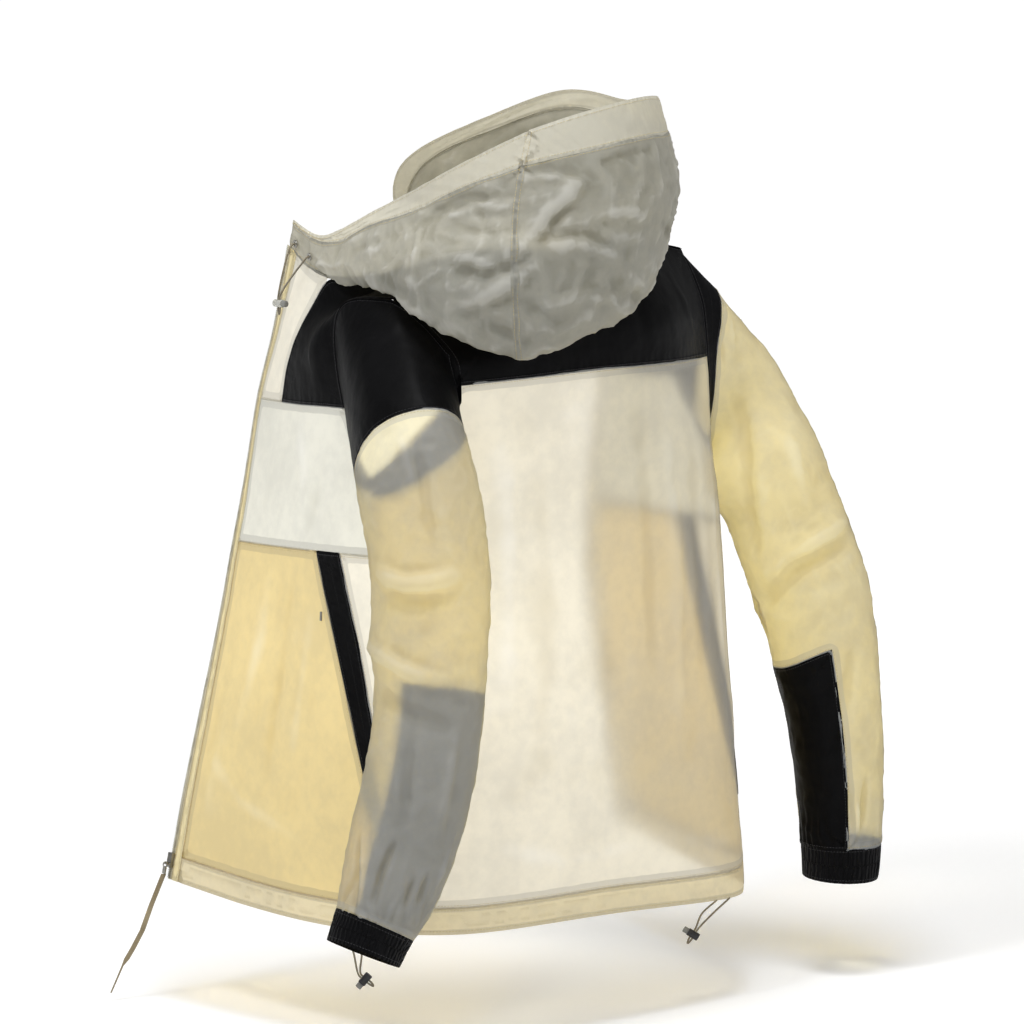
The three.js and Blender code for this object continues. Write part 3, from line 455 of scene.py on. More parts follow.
BODY_FOLDS = [
    {"path": [(131, 92, -190), (119, 93, -317), (130, 99, -455)], "width": 14, "depth": 1.6},
    {"path": [(84, 98, -230), (76, 100, -360), (90, 106, -520)], "width": 16, "depth": -1.6},
    {"path": [(-52, 97, -191), (-63, 101, -332), (-63, 108, -473)], "width": 13, "depth": -2.2},
    {"path": [(-90, 96, -210), (-104, 98, -330), (-100, 104, -520)], "width": 13, "depth": 2.2},
    {"path": [(-134, 84, -208), (-148, 84, -342), (-146, 94, -463)], "width": 12, "depth": -2.2},
    {"path": [(-180, 62, -220), (-196, 62, -360), (-190, 76, -560)], "width": 12, "depth": 2.0},
    {"path": [(10, 104, -300), (2, 108, -430), (14, 114, -600)], "width": 18, "depth": -1.2},
    {"path": [(150, 104, -600), (60, 114, -622), (-40, 118, -616)], "width": 10, "depth": 1.2},
    {"path": [(-70, 116, -610), (-140, 110, -628), (-210, 84, -630)], "width": 9, "depth": 1.6},
    {"path": [(211, -117, -199), (219, -100, -237), (223, -103, -277)], "width": 9, "depth": 1.4},
    {"path": [(206, -60, -190), (216, -70, -240), (224, -84, -300)], "width": 8, "depth": -1.2},
    {"path": [(222, -151, -352), (230, -155, -413), (239, -180, -496)], "width": 12, "depth": 1.8},
    {"path": [(232, -110, -350), (240, -118, -440), (250, -130, -560)], "width": 11, "depth": -1.6},
    {"path": [(238, -70, -383), (244, -79, -463), (251, -87, -544)], "width": 10, "depth": 1.6},
    {"path": [(242, -216, -541), (251, -165, -574), (258, -66, -600)], "width": 9, "depth": 1.6},
    {"path": [(226, -216, -420), (238, -224, -500), (250, -236, -590)], "width": 9, "depth": -1.4},
    {"path": [(-222, -90, -190), (-244, -110, -240), (-256, -124, -300)], "width": 9, "depth": 1.6},
    {"path": [(-262, -130, -350), (-272, -140, -440), (-292, -160, -560)], "width": 12, "depth": 1.8},
    {"path": [(-266, -190, -350), (-284, -200, -440), (-310, -214, -560)], "width": 11, "depth": -1.6},
    {"path": [(-252, -70, -360), (-262, -80, -450), (-276, -96, -560)], "width": 10, "depth": -1.4},
    {"path": [(-300, -210, -560), (-290, -140, -600), (-270, -60, -610)], "width": 9, "depth": 1.4},
    {"path": [(-60, 84, -70), (-66, 92, -110)], "width": 8, "depth": -1.4},
    {"path": [(-150, 50, -60), (-168, 54, -110)], "width": 8, "depth": 1.6},
    {"path": [(100, 84, -80), (120, 92, -128)], "width": 8, "depth": 1.4},
    {"path": [(186, 10, -64), (198, -30, -90), (206, -60, -130)], "width": 7, "depth": 1.4},
]


def fold_heights(co, no, folds):
    """How far the folds move each point out: a rounded ridge with a lower trough along one flank."""
    total = np.zeros(len(co))
    for fold in folds:
        path = np.array(fold["path"], float) * MM
        width, depth = fold["width"] * MM, fold["depth"] * MM
        near = np.full(len(co), np.inf)
        flank = np.zeros(len(co))
        along = np.zeros(len(co))
        lengths = np.linalg.norm(np.diff(path, axis=0), axis=1)
        starts = np.concatenate([[0], np.cumsum(lengths)]) / lengths.sum()
        for a, b, u, v in zip(path, path[1:], starts, starts[1:]):
            line = b - a
            t = np.clip((co - a) @ line / (line @ line), 0, 1)
            gap = co - (a + t[:, None] * line)
            distance = np.linalg.norm(gap, axis=1)
            closer = distance < near
            near[closer] = distance[closer]
            flank[closer] = (np.cross(line, gap)[closer] * no[closer]).sum(1) / np.linalg.norm(line)
            along[closer] = (u + (v - u) * t)[closer]
        fade = np.sin(np.pi * np.clip(0.08 + 0.84 * along, 0, 1)) ** 0.7
        ridge = np.exp(-(near / width) ** 2)
        trough = np.exp(-((flank - 1.7 * width) / width) ** 2) * np.exp(-(near / (2.6 * width)) ** 2)
        total += depth * fade * (ridge - 0.45 * trough)
    return total


def ripple_heights(co, size, height, stretch=(1, 1, 1)):
    scale = np.array(stretch) / size
    return height * np.array([noise.noise(Vector(p)) for p in co * scale])


def crumple_heights(co, size, height):
    """Sharp-edged soft crumples: creases where two warped noises cross nought."""
    def crease(p):
        q = p / size
        warp = noise.noise_vector(q * 0.6) * 0.7
        value = 1 - min(1.0, abs(noise.noise(q + warp)) * 2.6)
        return value * value
    return height * (np.array([crease(Vector(p)) for p in co]) - 0.35)


def gathers(u, distance, pitch, height, rise, fall):
    """Small uneven pleats that start at a seam and die away with distance from it."""
    wander = np.array([noise.noise(Vector((x / (3.1 * pitch), d / 0.03, 4.0))) for x, d in zip(u, distance)])
    reach = np.array([0.6 + 0.8 * abs(noise.noise(Vector((x / (1.7 * pitch), 0.0, 9.0)))) for x in u])
    wave = np.sin(2 * math.pi * u / pitch + 5 * wander)
    return height * wave * (1 - np.exp(-distance / rise)) * np.exp(-distance / (fall * reach))


def edge_distance(co, piece, wanted):
    """Distance in metres from each point to the piece's own open edges that wanted(point) accepts."""
    rims = open_edges(piece, wanted)
    if not rims:
        return np.full(len(co), 1.0)
    tree_points = np.array([p for rim in rims for p in rim["points"]])
    best = np.full(len(co), np.inf)
    for start in range(0, len(tree_points), 200):
        block = tree_points[start:start + 200]
        gap = np.linalg.norm(co[:, None, :] - block[None, :, :], axis=2).min(1)
        best = np.minimum(best, gap)
    return best


# Open edges, split at corners into sides that run in order.

def open_edges(piece, wanted=lambda p: True, corner=35):
    shape = bmesh.new()
    shape.from_mesh(piece.data)
    rims = [e for e in shape.edges if len(e.link_faces) == 1]
    around = {}
    for edge in rims:
        for v in edge.verts:
            around.setdefault(v, []).append(edge)

    def is_corner(v):
        if len(around[v]) != 2:
            return True
        a, b = (edge.other_vert(v).co - v.co for edge in around[v])
        return a.angle(-b, 0) > math.radians(corner)

    left = set(rims)
    sides = []
    starts = [v for v in around if is_corner(v)]
    for v in starts + list(around):
        for edge in around[v]:
            if edge not in left:
                continue
            line, inward = [v], []
            here = v
            while edge is not None:
                left.discard(edge)
                after = edge.other_vert(here)
                face = edge.link_faces[0]
                middle = (here.co + after.co) / 2
                tangent = (after.co - here.co).normalized()
                side = face.calc_center_median() - middle
                side = (side - side.dot(tangent) * tangent).normalized()
                inward.append(side)
                line.append(after)
                here = after
                ahead = [e for e in around[here] if e in left]
                edge = ahead[0] if ahead and not is_corner(here) else None
            points = [tuple(p.co) for p in line]
            middle = sum((p.co for p in line), Vector()) / len(line)
            if len(line) > 3 and wanted(middle):
                sides.append({
                    "points": points,
                    "normals": [tuple(p.normal) for p in line],
                    "inward": [tuple(w) for w in inward + inward[-1:]],
                    "middle": middle,
                })
    shape.free()
    return sides


# Materials.

def colour(red, green, blue):
    """An 8-bit screen colour as linear RGBA."""
    def linear(value):
        value /= 255
        return value / 12.92 if value <= 0.04045 else ((value + 0.055) / 1.055) ** 2.4
    return (linear(red), linear(green), linear(blue), 1)


def new_group(name, inputs, outputs):
    group = bpy.data.node_groups.new(name, "ShaderNodeTree")
    for label, kind, value in inputs:
        socket = group.interface.new_socket(label, in_out="INPUT", socket_type=kind)
        socket.default_value = value
    for label, kind in outputs:
        group.interface.new_socket(label, in_out="OUTPUT", socket_type=kind)
    return group, group.nodes.new("NodeGroupInput"), group.nodes.new("NodeGroupOutput")


def maths(tree, operation, a, b=None, c=None, clamp=False):
    node = tree.nodes.new("ShaderNodeMath")
    node.operation = operation
    node.use_clamp = clamp
    for socket, value in zip(node.inputs, (a, b, c)):
        if value is None:
            continue
        if isinstance(value, (int, float)):
            socket.default_value = value
        else:
            tree.links.new(value, socket)
    return node.outputs[0]


def step_between(tree, value, low, high):
    node = tree.nodes.new("ShaderNodeMapRange")
    node.interpolation_type = "SMOOTHSTEP"
    tree.links.new(value, node.inputs["Value"])
    node.inputs["From Min"].default_value = low
    node.inputs["From Max"].default_value = high
    return node.outputs["Result"]


def noise_value(tree, vector, scale, detail=3.0, roughness=0.5):
    node = tree.nodes.new("ShaderNodeTexNoise")
    node.inputs["Scale"].default_value = scale
    node.inputs["Detail"].default_value = detail
    node.inputs["Roughness"].default_value = roughness
    tree.links.new(vector, node.inputs["Vector"])
    return node.outputs["Fac"]


def mix_colour(tree, factor, a, b):
    node = tree.nodes.new("ShaderNodeMix")
    node.data_type = "RGBA"
    for socket, value in ((node.inputs[0], factor), (node.inputs[6], a), (node.inputs[7], b)):
        if isinstance(value, (int, float, tuple)):
            socket.default_value = value
        else:
            tree.links.new(value, socket)
    return node.outputs[2]


def make_weave_group():
    """Plain weave on the cloth's own map in metres: thread height, and a mask of the thicker threads."""
    group, given, out = new_group(
        "weave",
        [("Threads", "NodeSocketFloat", 2200.0), ("Slub", "NodeSocketFloat", 0.3)],
        [("Height", "NodeSocketFloat"), ("Mask", "NodeSocketFloat")])
    cloth_map = group.nodes.new("ShaderNodeUVMap")
    cloth_map.uv_map = "UVMap"
    split = group.nodes.new("ShaderNodeSeparateXYZ")
    group.links.new(cloth_map.outputs["UV"], split.inputs["Vector"])
    turns = maths(group, "MULTIPLY", given.outputs["Threads"], math.pi)
    warp = maths(group, "SINE", maths(group, "MULTIPLY", split.outputs["X"], turns))
    weft = maths(group, "SINE", maths(group, "MULTIPLY", split.outputs["Y"], turns))
    over = maths(group, "MULTIPLY", warp, weft)
    slubs = noise_value(group, cloth_map.outputs["UV"], 320.0, 4.0, 0.7)
    slub_height = maths(group, "MULTIPLY", slubs, given.outputs["Slub"])
    height = maths(group, "ADD", maths(group, "MULTIPLY", over, 0.35), slub_height)
    group.links.new(height, out.inputs["Height"])
    group.links.new(maths(group, "MULTIPLY_ADD", over, 0.5, 0.5), out.inputs["Mask"])
    return group


def make_mottle_group():
    """Slow change of tone over a cloth, with a finer noise of small darker flecks that is painted crease shade."""
    group, given, out = new_group(
        "mottle",
        [
            ("Light", "NodeSocketColor", (1, 1, 1, 1)), ("Dark", "NodeSocketColor", (0.5, 0.5, 0.5, 1)),
            ("Size", "NodeSocketFloat", 9.0), ("Amount", "NodeSocketFloat", 0.6),
        ],
        [("Color", "NodeSocketColor"), ("Value", "NodeSocketFloat")])
    place = group.nodes.new("ShaderNodeTexCoord")
    wide = group.nodes.new("ShaderNodeTexNoise")
    wide.inputs["Detail"].default_value = 3.0
    group.links.new(place.outputs["Object"], wide.inputs["Vector"])
    group.links.new(given.outputs["Size"], wide.inputs["Scale"])
    # Painted shade: this finer noise stands for the darker hollows of small creases.
    fine = noise_value(group, place.outputs["Object"], 75.0, 4.0, 0.6)
    both = maths(group, "MULTIPLY_ADD", fine, 0.4, maths(group, "MULTIPLY", wide.outputs["Fac"], 0.6))
    value = step_between(group, both, 0.36, 0.64)
    factor = maths(group, "MULTIPLY", value, given.outputs["Amount"], clamp=True)
    group.links.new(mix_colour(group, factor, given.outputs["Light"], given.outputs["Dark"]), out.inputs["Color"])
    group.links.new(value, out.inputs["Value"])
    return group


def make_seam_group():
    """Mask of the doubled cloth beside a sewn edge, from the map of distances to it, with a ragged inner edge."""
    group, given, out = new_group(
        "seam_allowance",
        [("Width", "NodeSocketFloat", 0.008)],
        [("Mask", "NodeSocketFloat"), ("Ridge", "NodeSocketFloat")])
    edge_map = group.nodes.new("ShaderNodeUVMap")
    edge_map.uv_map = "edge"
    split = group.nodes.new("ShaderNodeSeparateXYZ")
    group.links.new(edge_map.outputs["UV"], split.inputs["Vector"])
    distance = split.outputs["X"]
    place = group.nodes.new("ShaderNodeTexCoord")
    wander = maths(group, "MULTIPLY_ADD", noise_value(group, place.outputs["Object"], 60.0), 0.002, -0.001)
    inner = maths(group, "SUBTRACT", given.outputs["Width"], maths(group, "ADD", distance, wander))
    group.links.new(step_between(group, inner, -0.0004, 0.0006), out.inputs["Mask"])
    fold = maths(group, "MULTIPLY", maths(group, "SUBTRACT", distance, 0.002), 900.0)
    ridge = maths(group, "POWER", 2.718, maths(group, "MULTIPLY", maths(group, "MULTIPLY", fold, fold), -1.0))
    group.links.new(ridge, out.inputs["Ridge"])
    return group


def make_pucker_group():
    """Short puckers across a sewn edge, on the map of distances (x) and lengths (y) along it."""
    group, given, out = new_group(
        "pucker",
        [("Pitch", "NodeSocketFloat", 0.007), ("Reach", "NodeSocketFloat", 0.014)],
        [("Height", "NodeSocketFloat")])
    edge_map = group.nodes.new("ShaderNodeUVMap")
    edge_map.uv_map = "edge"
    place = group.nodes.new("ShaderNodeTexCoord")
    split = group.nodes.new("ShaderNodeSeparateXYZ")
    group.links.new(edge_map.outputs["UV"], split.inputs["Vector"])
    wander = maths(group, "MULTIPLY", noise_value(group, place.outputs["Object"], 55.0, 2.0), 9.0)
    turns = maths(group, "DIVIDE", maths(group, "MULTIPLY", split.outputs["Y"], 2 * math.pi), given.outputs["Pitch"])
    wave = maths(group, "SINE", maths(group, "ADD", turns, wander))
    fade = maths(group, "DIVIDE", split.outputs["X"], given.outputs["Reach"])
    fade = maths(group, "POWER", 2.718, maths(group, "MULTIPLY", fade, -1.0))
    group.links.new(maths(group, "MULTIPLY", wave, fade), out.inputs["Height"])
    return group


def make_crinkle_group():
    """Fine soft crumples of thin nylon that has been packed and shaken out."""
    group, given, out = new_group(
        "crinkle",
        [("Size", "NodeSocketFloat", 34.0), ("Amount", "NodeSocketFloat", 1.0)],
        [("Height", "NodeSocketFloat")])
    place = group.nodes.new("ShaderNodeTexCoord")
    noise_node = group.nodes.new("ShaderNodeTexNoise")
    noise_node.inputs["Detail"].default_value = 2.0
    group.links.new(place.outputs["Object"], noise_node.inputs["Vector"])
    group.links.new(given.outputs["Size"], noise_node.inputs["Scale"])
    group.links.new(maths(group, "MULTIPLY", noise_node.outputs["Fac"], given.outputs["Amount"]), out.inputs["Height"])
    return group


WEAVE = make_weave_group()
MOTTLE = make_mottle_group()
SEAM = make_seam_group()
PUCKER = make_pucker_group()
CRINKLE = make_crinkle_group()


def place_group(tree, group, **values):
    node = tree.nodes.new("ShaderNodeGroup")
    node.node_tree = group
    for key, value in values.items():
        node.inputs[key].default_value = value
    return node


def new_material(name):
    material = bpy.data.materials.new(name)
    material.use_nodes = True
    tree = material.node_tree
    return material, tree, tree.nodes["Principled BSDF"], tree.nodes["Material Output"]


def bump(tree, height, distance, strength=1.0, under=None):
    node = tree.nodes.new("ShaderNodeBump")
    node.inputs["Strength"].default_value = strength
    node.inputs["Distance"].default_value = distance
    tree.links.new(height, node.inputs["Height"])
    if under is not None:
        tree.links.new(under, node.inputs["Normal"])
    return node.outputs["Normal"]


def sheer_cloth(name, front, behind, tint, clear_part=0.6, crinkle=0.25, allowance=8 * MM, blur=0.75,
                glow_part=0.45, band=0.8):
    """Frosted nylon: front is what it scatters back, behind the glow through it, tint the blurred view through it.
    It is denser where it is doubled at a seam. Fold troughs get painted shade and fold ridges a painted highlight,
    both read from the relief height."""
    material, tree, shader, output = new_material(name)
    seam = place_group(tree, SEAM, Width=allowance)
    doubled = seam.outputs["Mask"]

    # Painted shade and highlight: the fold height darkens and deepens the colour in troughs and pales it on ridges.
    relief = tree.nodes.new("ShaderNodeAttribute")
    relief.attribute_name = "relief"
    painted_ridge_highlight = step_between(tree, relief.outputs["Fac"], 0.1, 0.9)
    painted_trough_shade = step_between(tree, relief.outputs["Fac"], -0.05, -0.75)

    patchy = place_group(tree, MOTTLE, Size=9.0, Amount=1.0).outputs["Value"]

    # Each tone mixes random mottle, painted shade in fold troughs, a painted highlight on fold ridges, and the denser
    # doubled cloth at seams.
    def tone(value, spread):
        darker = tuple(v * (1 - spread) for v in value[:3]) + (1,)
        edge = tuple(v * band for v in value[:3]) + (1,)
        trough_shade_colour = tuple(v ** 1.5 * 0.8 for v in value[:3]) + (1,)
        ridge_highlight_colour = tuple(v ** 0.5 for v in value[:3]) + (1,)
        shaded = mix_colour(tree, patchy, value, darker)
        shaded = mix_colour(tree, maths(tree, "MULTIPLY", painted_trough_shade, 0.5), shaded, trough_shade_colour)
        shaded = mix_colour(tree, maths(tree, "MULTIPLY", painted_ridge_highlight, 0.6), shaded, ridge_highlight_colour)
        return mix_colour(tree, doubled, shaded, edge)

    weave = place_group(tree, WEAVE, Threads=2400.0, Slub=0.8)
    crumples = place_group(tree, CRINKLE, Size=30.0, Amount=1.0)
    pucker = place_group(tree, PUCKER, Pitch=9 * MM, Reach=4 * MM)
    normal = bump(tree, crumples.outputs["Height"], 0.004 * crinkle)
    normal = bump(tree, pucker.outputs["Height"], 0.0004, 1.0, normal)
    normal = bump(tree, seam.outputs["Ridge"], 0.0004, 0.8, normal)
    normal = bump(tree, weave.outputs["Height"], 0.00006, 0.5, normal)
    tree.links.new(tone(front, 0.06), shader.inputs["Base Color"])
    tree.links.new(normal, shader.inputs["Normal"])
    shader.inputs["Roughness"].default_value = 0.48
    shader.inputs["Specular IOR Level"].default_value = 0.4
    shader.inputs["Sheen Weight"].default_value = 0.12
    shader.inputs["Sheen Roughness"].default_value = 0.4
    glow = tree.nodes.new("ShaderNodeBsdfTranslucent")
    tree.links.new(tone(behind, 0.12), glow.inputs["Color"])
    tree.links.new(normal, glow.inputs["Normal"])
    body = tree.nodes.new("ShaderNodeMixShader")
    body.inputs["Fac"].default_value = glow_part
    tree.links.new(shader.outputs[0], body.inputs[1])
    tree.links.new(glow.outputs[0], body.inputs[2])
    through = tone(tint, 0.1)
    frosted = tree.nodes.new("ShaderNodeBsdfRefraction")
    frosted.inputs["IOR"].default_value = 1.04
    frosted.inputs["Roughness"].default_value = blur
    tree.links.new(through, frosted.inputs["Color"])
    light_way = tree.nodes.new("ShaderNodeBsdfTransparent")
    tree.links.new(through, light_way.inputs["Color"])
    rays = tree.nodes.new("ShaderNodeLightPath")
    clear = tree.nodes.new("ShaderNodeMixShader")
    tree.links.new(rays.outputs["Is Shadow Ray"], clear.inputs["Fac"])
    tree.links.new(frosted.outputs[0], clear.inputs[1])
    tree.links.new(light_way.outputs[0], clear.inputs[2])
    open_part = maths(tree, "MULTIPLY_ADD", patchy, -0.1, clear_part + 0.05)
    open_part = maths(tree, "MULTIPLY", open_part, maths(tree, "MULTIPLY_ADD", doubled, -0.25, 1.0))
    open_part = maths(tree, "MULTIPLY_ADD", weave.outputs["Mask"], -0.03, open_part, clamp=True)
    cloth = tree.nodes.new("ShaderNodeMixShader")
    tree.links.new(open_part, cloth.inputs["Fac"])
    tree.links.new(body.outputs[0], cloth.inputs[1])
    tree.links.new(clear.outputs[0], cloth.inputs[2])
    tree.links.new(cloth.outputs[0], output.inputs["Surface"])
    return material


def solid_cloth(name, light, dark, roughness=0.6, threads=1700.0, crinkle=0.3, sheen=0.35, rib=None):
    """Close black nylon, or with rib= the gathered elastic band of a cuff."""
    material, tree, shader, output = new_material(name)
    mottle = place_group(tree, MOTTLE, Light=light, Dark=dark, Size=12.0, Amount=0.9)
    weave = place_group(tree, WEAVE, Threads=threads, Slub=0.7)
    seam = place_group(tree, SEAM, Width=7 * MM)
    crumples = place_group(tree, CRINKLE, Size=36.0, Amount=1.0)
    pucker = place_group(tree, PUCKER, Pitch=rib or 11 * MM, Reach=0.06 if rib else 9 * MM)
    normal = bump(tree, crumples.outputs["Height"], 0.0012 * crinkle * 4)
    normal = bump(tree, pucker.outputs["Height"], 0.0012 if rib else 0.0002, 1.0, normal)
    normal = bump(tree, seam.outputs["Ridge"], 0.0006, 0.8, normal)
    normal = bump(tree, weave.outputs["Height"], 0.00008, 0.6, normal)
    tree.links.new(mottle.outputs["Color"], shader.inputs["Base Color"])
    rough = maths(tree, "MULTIPLY_ADD", weave.outputs["Mask"], 0.12, roughness - 0.06)
    tree.links.new(rough, shader.inputs["Roughness"])
    tree.links.new(normal, shader.inputs["Normal"])
    shader.inputs["Sheen Weight"].default_value = sheen
    shader.inputs["Sheen Roughness"].default_value = 0.45
    shader.inputs["Specular IOR Level"].default_value = 0.06
    return material


def braid(name, light, dark, pitch, strands):
    """Braided cord on a map that is metres along (x) and turns round (y), with painted shade in the grooves between
    strands.
    """
    material, tree, shader, output = new_material(name)
    cord_map = tree.nodes.new("ShaderNodeUVMap")
    cord_map.uv_map = "UVMap"
    split = tree.nodes.new("ShaderNodeSeparateXYZ")
    tree.links.new(cord_map.outputs["UV"], split.inputs["Vector"])
    along = maths(tree, "MULTIPLY", split.outputs["X"], 2 * math.pi / pitch)
    turns = maths(tree, "MULTIPLY", split.outputs["Y"], 2 * math.pi * strands)
    left = maths(tree, "SINE", maths(tree, "ADD", along, turns))
    right = maths(tree, "SINE", maths(tree, "SUBTRACT", along, turns))
    plait = maths(tree, "MAXIMUM", left, right)
    # Painted shade: where the strands dip, between them, the cord takes the dark colour.
    shade = step_between(tree, plait, -0.3, 0.8)
    mottle = place_group(tree, MOTTLE, Light=light, Dark=dark, Size=160.0, Amount=0.5)
    tree.links.new(mix_colour(tree, shade, dark, mottle.outputs["Color"]), shader.inputs["Base Color"])
    tree.links.new(bump(tree, plait, 0.0003), shader.inputs["Normal"])
    tree.links.new(maths(tree, "MULTIPLY_ADD", shade, -0.15, 0.8), shader.inputs["Roughness"])
    shader.inputs["Sheen Weight"].default_value = 0.4
    return material


def hard_finish(name, light, dark, roughness, metallic=0.0, grain=900.0, depth=0.00008, clear=0.0):
    """Moulded plastic or plated metal with rubbed variation and a fine grain."""
    material, tree, shader, output = new_material(name)
    mottle = place_group(tree, MOTTLE, Light=light, Dark=dark, Size=140.0, Amount=0.7)
    place = tree.nodes.new("ShaderNodeTexCoord")
    fine = noise_value(tree, place.outputs["Object"], grain, 3.0)
    tree.links.new(mottle.outputs["Color"], shader.inputs["Base Color"])
    tree.links.new(bump(tree, fine, depth), shader.inputs["Normal"])
    tree.links.new(maths(tree, "MULTIPLY_ADD", fine, 0.2, roughness - 0.1), shader.inputs["Roughness"])
    shader.inputs["Metallic"].default_value = metallic
    shader.inputs["Transmission Weight"].default_value = clear
    return material


SHEER = {
    "sheer_cream": sheer_cloth("sheer_cream", (0.84, 0.86, 0.86, 1), (0.92, 0.82, 0.6, 1), (0.94, 0.86, 0.67, 1)),
    "sheer_pale": sheer_cloth("sheer_pale", (0.78, 0.8, 0.79, 1), (0.82, 0.8, 0.68, 1), (0.88, 0.86, 0.74, 1)),
    "sheer_yellow": sheer_cloth("sheer_yellow", (0.78, 0.73, 0.56, 1), (0.84, 0.64, 0.24, 1), (0.87, 0.68, 0.29, 1)),
    "sheer_side": sheer_cloth("sheer_side", (0.87, 0.87, 0.84, 1), (0.94, 0.88, 0.7, 1), (1, 0.94, 0.78, 1)),
    "sheer_sleeve": sheer_cloth("sheer_sleeve", (0.8, 0.84, 0.86, 1), (0.9, 0.77, 0.43, 1), (0.97, 0.865, 0.52, 1)),
    "hood_cloth": sheer_cloth(
        "hood_cloth", (0.38, 0.38, 0.345, 1), (0.35, 0.32, 0.22, 1), (0.8, 0.74, 0.55, 1), 0.24, 0.8, 4 * MM, 0.8,
        0.35, 0.9),
    "hood_casing": sheer_cloth(
        "hood_casing", (0.7, 0.69, 0.62, 1), (0.66, 0.6, 0.42, 1), (0.95, 0.88, 0.66, 1), 0.3, 0.6, 4 * MM, 0.8,
        0.4, 0.9),
    "casing_cloth": sheer_cloth(
        "casing_cloth", (0.74, 0.71, 0.6, 1), (0.82, 0.68, 0.38, 1), (0.94, 0.8, 0.48, 1), 0.42, 0.3, 4 * MM),
    "facing_cloth": sheer_cloth(
        "facing_cloth", (0.84, 0.8, 0.62, 1), (0.9, 0.74, 0.34, 1), (0.95, 0.8, 0.42, 1), 0.46, 0.2, 3 * MM),
}
BLACK = solid_cloth(
    "black_cloth", (0.0012, 0.0012, 0.0015, 1), (0.0026, 0.0026, 0.003, 1), roughness=0.5, sheen=0.0)
CUFF = solid_cloth(
    "elastic_cuff", (0.003, 0.003, 0.0035, 1), (0.006, 0.006, 0.007, 1), rib=5 * MM, crinkle=0.1, sheen=0.01)
TAPE = solid_cloth("zip_tape", colour(196, 188, 162), colour(168, 160, 132), threads=1500.0, crinkle=0.02, sheen=0.2)
CORD = braid("cord", colour(150, 138, 110), colour(92, 82, 62), 2.4 * MM, 4)
STITCH_PALE = hard_finish("thread_pale", colour(206, 188, 134), colour(170, 150, 100), 0.6, grain=4000.0)
STITCH_DARK = hard_finish("thread_dark", colour(44, 44, 48), colour(26, 26, 30), 0.55, grain=4000.0)
TEETH = hard_finish("zip_teeth", colour(206, 206, 198), colour(160, 158, 148), 0.35)
METAL = hard_finish("slider_metal", colour(168, 166, 160), colour(120, 118, 112), 0.32, metallic=1.0)
STOP_BLACK = hard_finish("stop_black", colour(24, 24, 26), colour(40, 40, 43), 0.45)
STOP_GREY = hard_finish("stop_grey", colour(128, 128, 124), colour(100, 100, 96), 0.4)
STOP_CLEAR = hard_finish("stop_clear", colour(232, 232, 226), colour(206, 206, 198), 0.25, clear=0.55)
RIBBON = solid_cloth("ribbon", colour(150, 138, 112), colour(116, 104, 82), threads=2600.0, crinkle=0.05)


# Cords. Points in mm, as in the part's source.

CORD_RADIUS = 1.0 * MM
CORDS = {
    "hood_cord_left": [
        (175.5, -165.5, -18.5), (176.6, -165.7, -18.5), (177.8, -165.9, -18.6), (181.1, -166.6, -21.7),
        (188, -177.3, -71), (188, -177.3, -78), (188, -177.3, -85), (188, -176, -89), (188, -174.8, -85),
        (188, -174.8, -78), (188, -174.8, -71), (186.9, -138.3, -33.1), (183.6, -137.5, -29.7),
        (182.4, -137.2, -29.5), (181.4, -137, -29.4)],
    "hood_cord_right": [
        (-54.1, -195.8, -1.9), (-54.3, -196.5, -1), (-54.5, -197.2, -0.1), (-55.2, -199.3, -0.4),
        (-56, -212.8, -67), (-56, -212.8, -74), (-56, -212.8, -81), (-56, -214, -85), (-56, -215.3, -81),
        (-56, -215.3, -74), (-56, -215.3, -67), (-78.5, -197.2, -4.4), (-77.9, -195.4, -4.2),
        (-77.6, -194.8, -5.2), (-77.4, -194.2, -6.1)],
    "hem_cord_right": [
        (-169.2, 108.1, -688.4), (-154, 99, -704), (-136.5, 95.2, -718.7), (-133.8, 92.7, -724.7),
        (-131.1, 90.2, -730.6), (-128.8, 88.1, -733.4), (-129.5, 88.8, -729.3), (-132.2, 91.3, -723.3),
        (-134.9, 93.8, -717.4), (-139, 98, -703), (-146.1, 112.9, -687.2)],
    "hem_cord_left": [
        (247, 6.8, -681.7), (241, 10, -705), (241.4, 9, -726.5), (237.4, 12.5, -731.1), (233.4, 16.1, -735.6),
        (231.8, 17.5, -739.2), (234.6, 15, -737.5), (238.6, 11.5, -732.9), (242.6, 7.9, -728.4),
        (245, 2, -705), (250.1, -5, -681.4)],
}


def through(points, spacing):
    """Even points along a centripetal Catmull-Rom line through the given ones."""
    p = [np.array(q, float) for q in points]
    p = [2 * p[0] - p[1]] + p + [2 * p[-1] - p[-2]]
    dense = []
    for a, b, c, d in zip(p, p[1:], p[2:], p[3:]):
        t0, t1 = 0.0, np.linalg.norm(b - a) ** 0.5
        t2 = t1 + np.linalg.norm(c - b) ** 0.5
        t3 = t2 + np.linalg.norm(d - c) ** 0.5
        for t in np.linspace(t1, t2, 24, endpoint=False):
            ab = (t1 - t) / (t1 - t0) * a + (t - t0) / (t1 - t0) * b
            bc = (t2 - t) / (t2 - t1) * b + (t - t1) / (t2 - t1) * c
            cd = (t3 - t) / (t3 - t2) * c + (t - t2) / (t3 - t2) * d
            abc = (t2 - t) / (t2 - t0) * ab + (t - t0) / (t2 - t0) * bc
            bcd = (t3 - t) / (t3 - t1) * bc + (t - t1) / (t3 - t1) * cd
            dense.append((t2 - t) / (t2 - t1) * abc + (t - t1) / (t2 - t1) * bcd)
    dense = np.array(dense + [p[-2]])
    lengths = np.concatenate([[0], np.cumsum(np.linalg.norm(np.diff(dense, axis=0), axis=1))])
    wanted = np.linspace(0, lengths[-1], max(2, round(lengths[-1] / spacing)))
    return np.column_stack([np.interp(wanted, lengths, dense[:, k]) for k in range(3)]), lengths[-1]


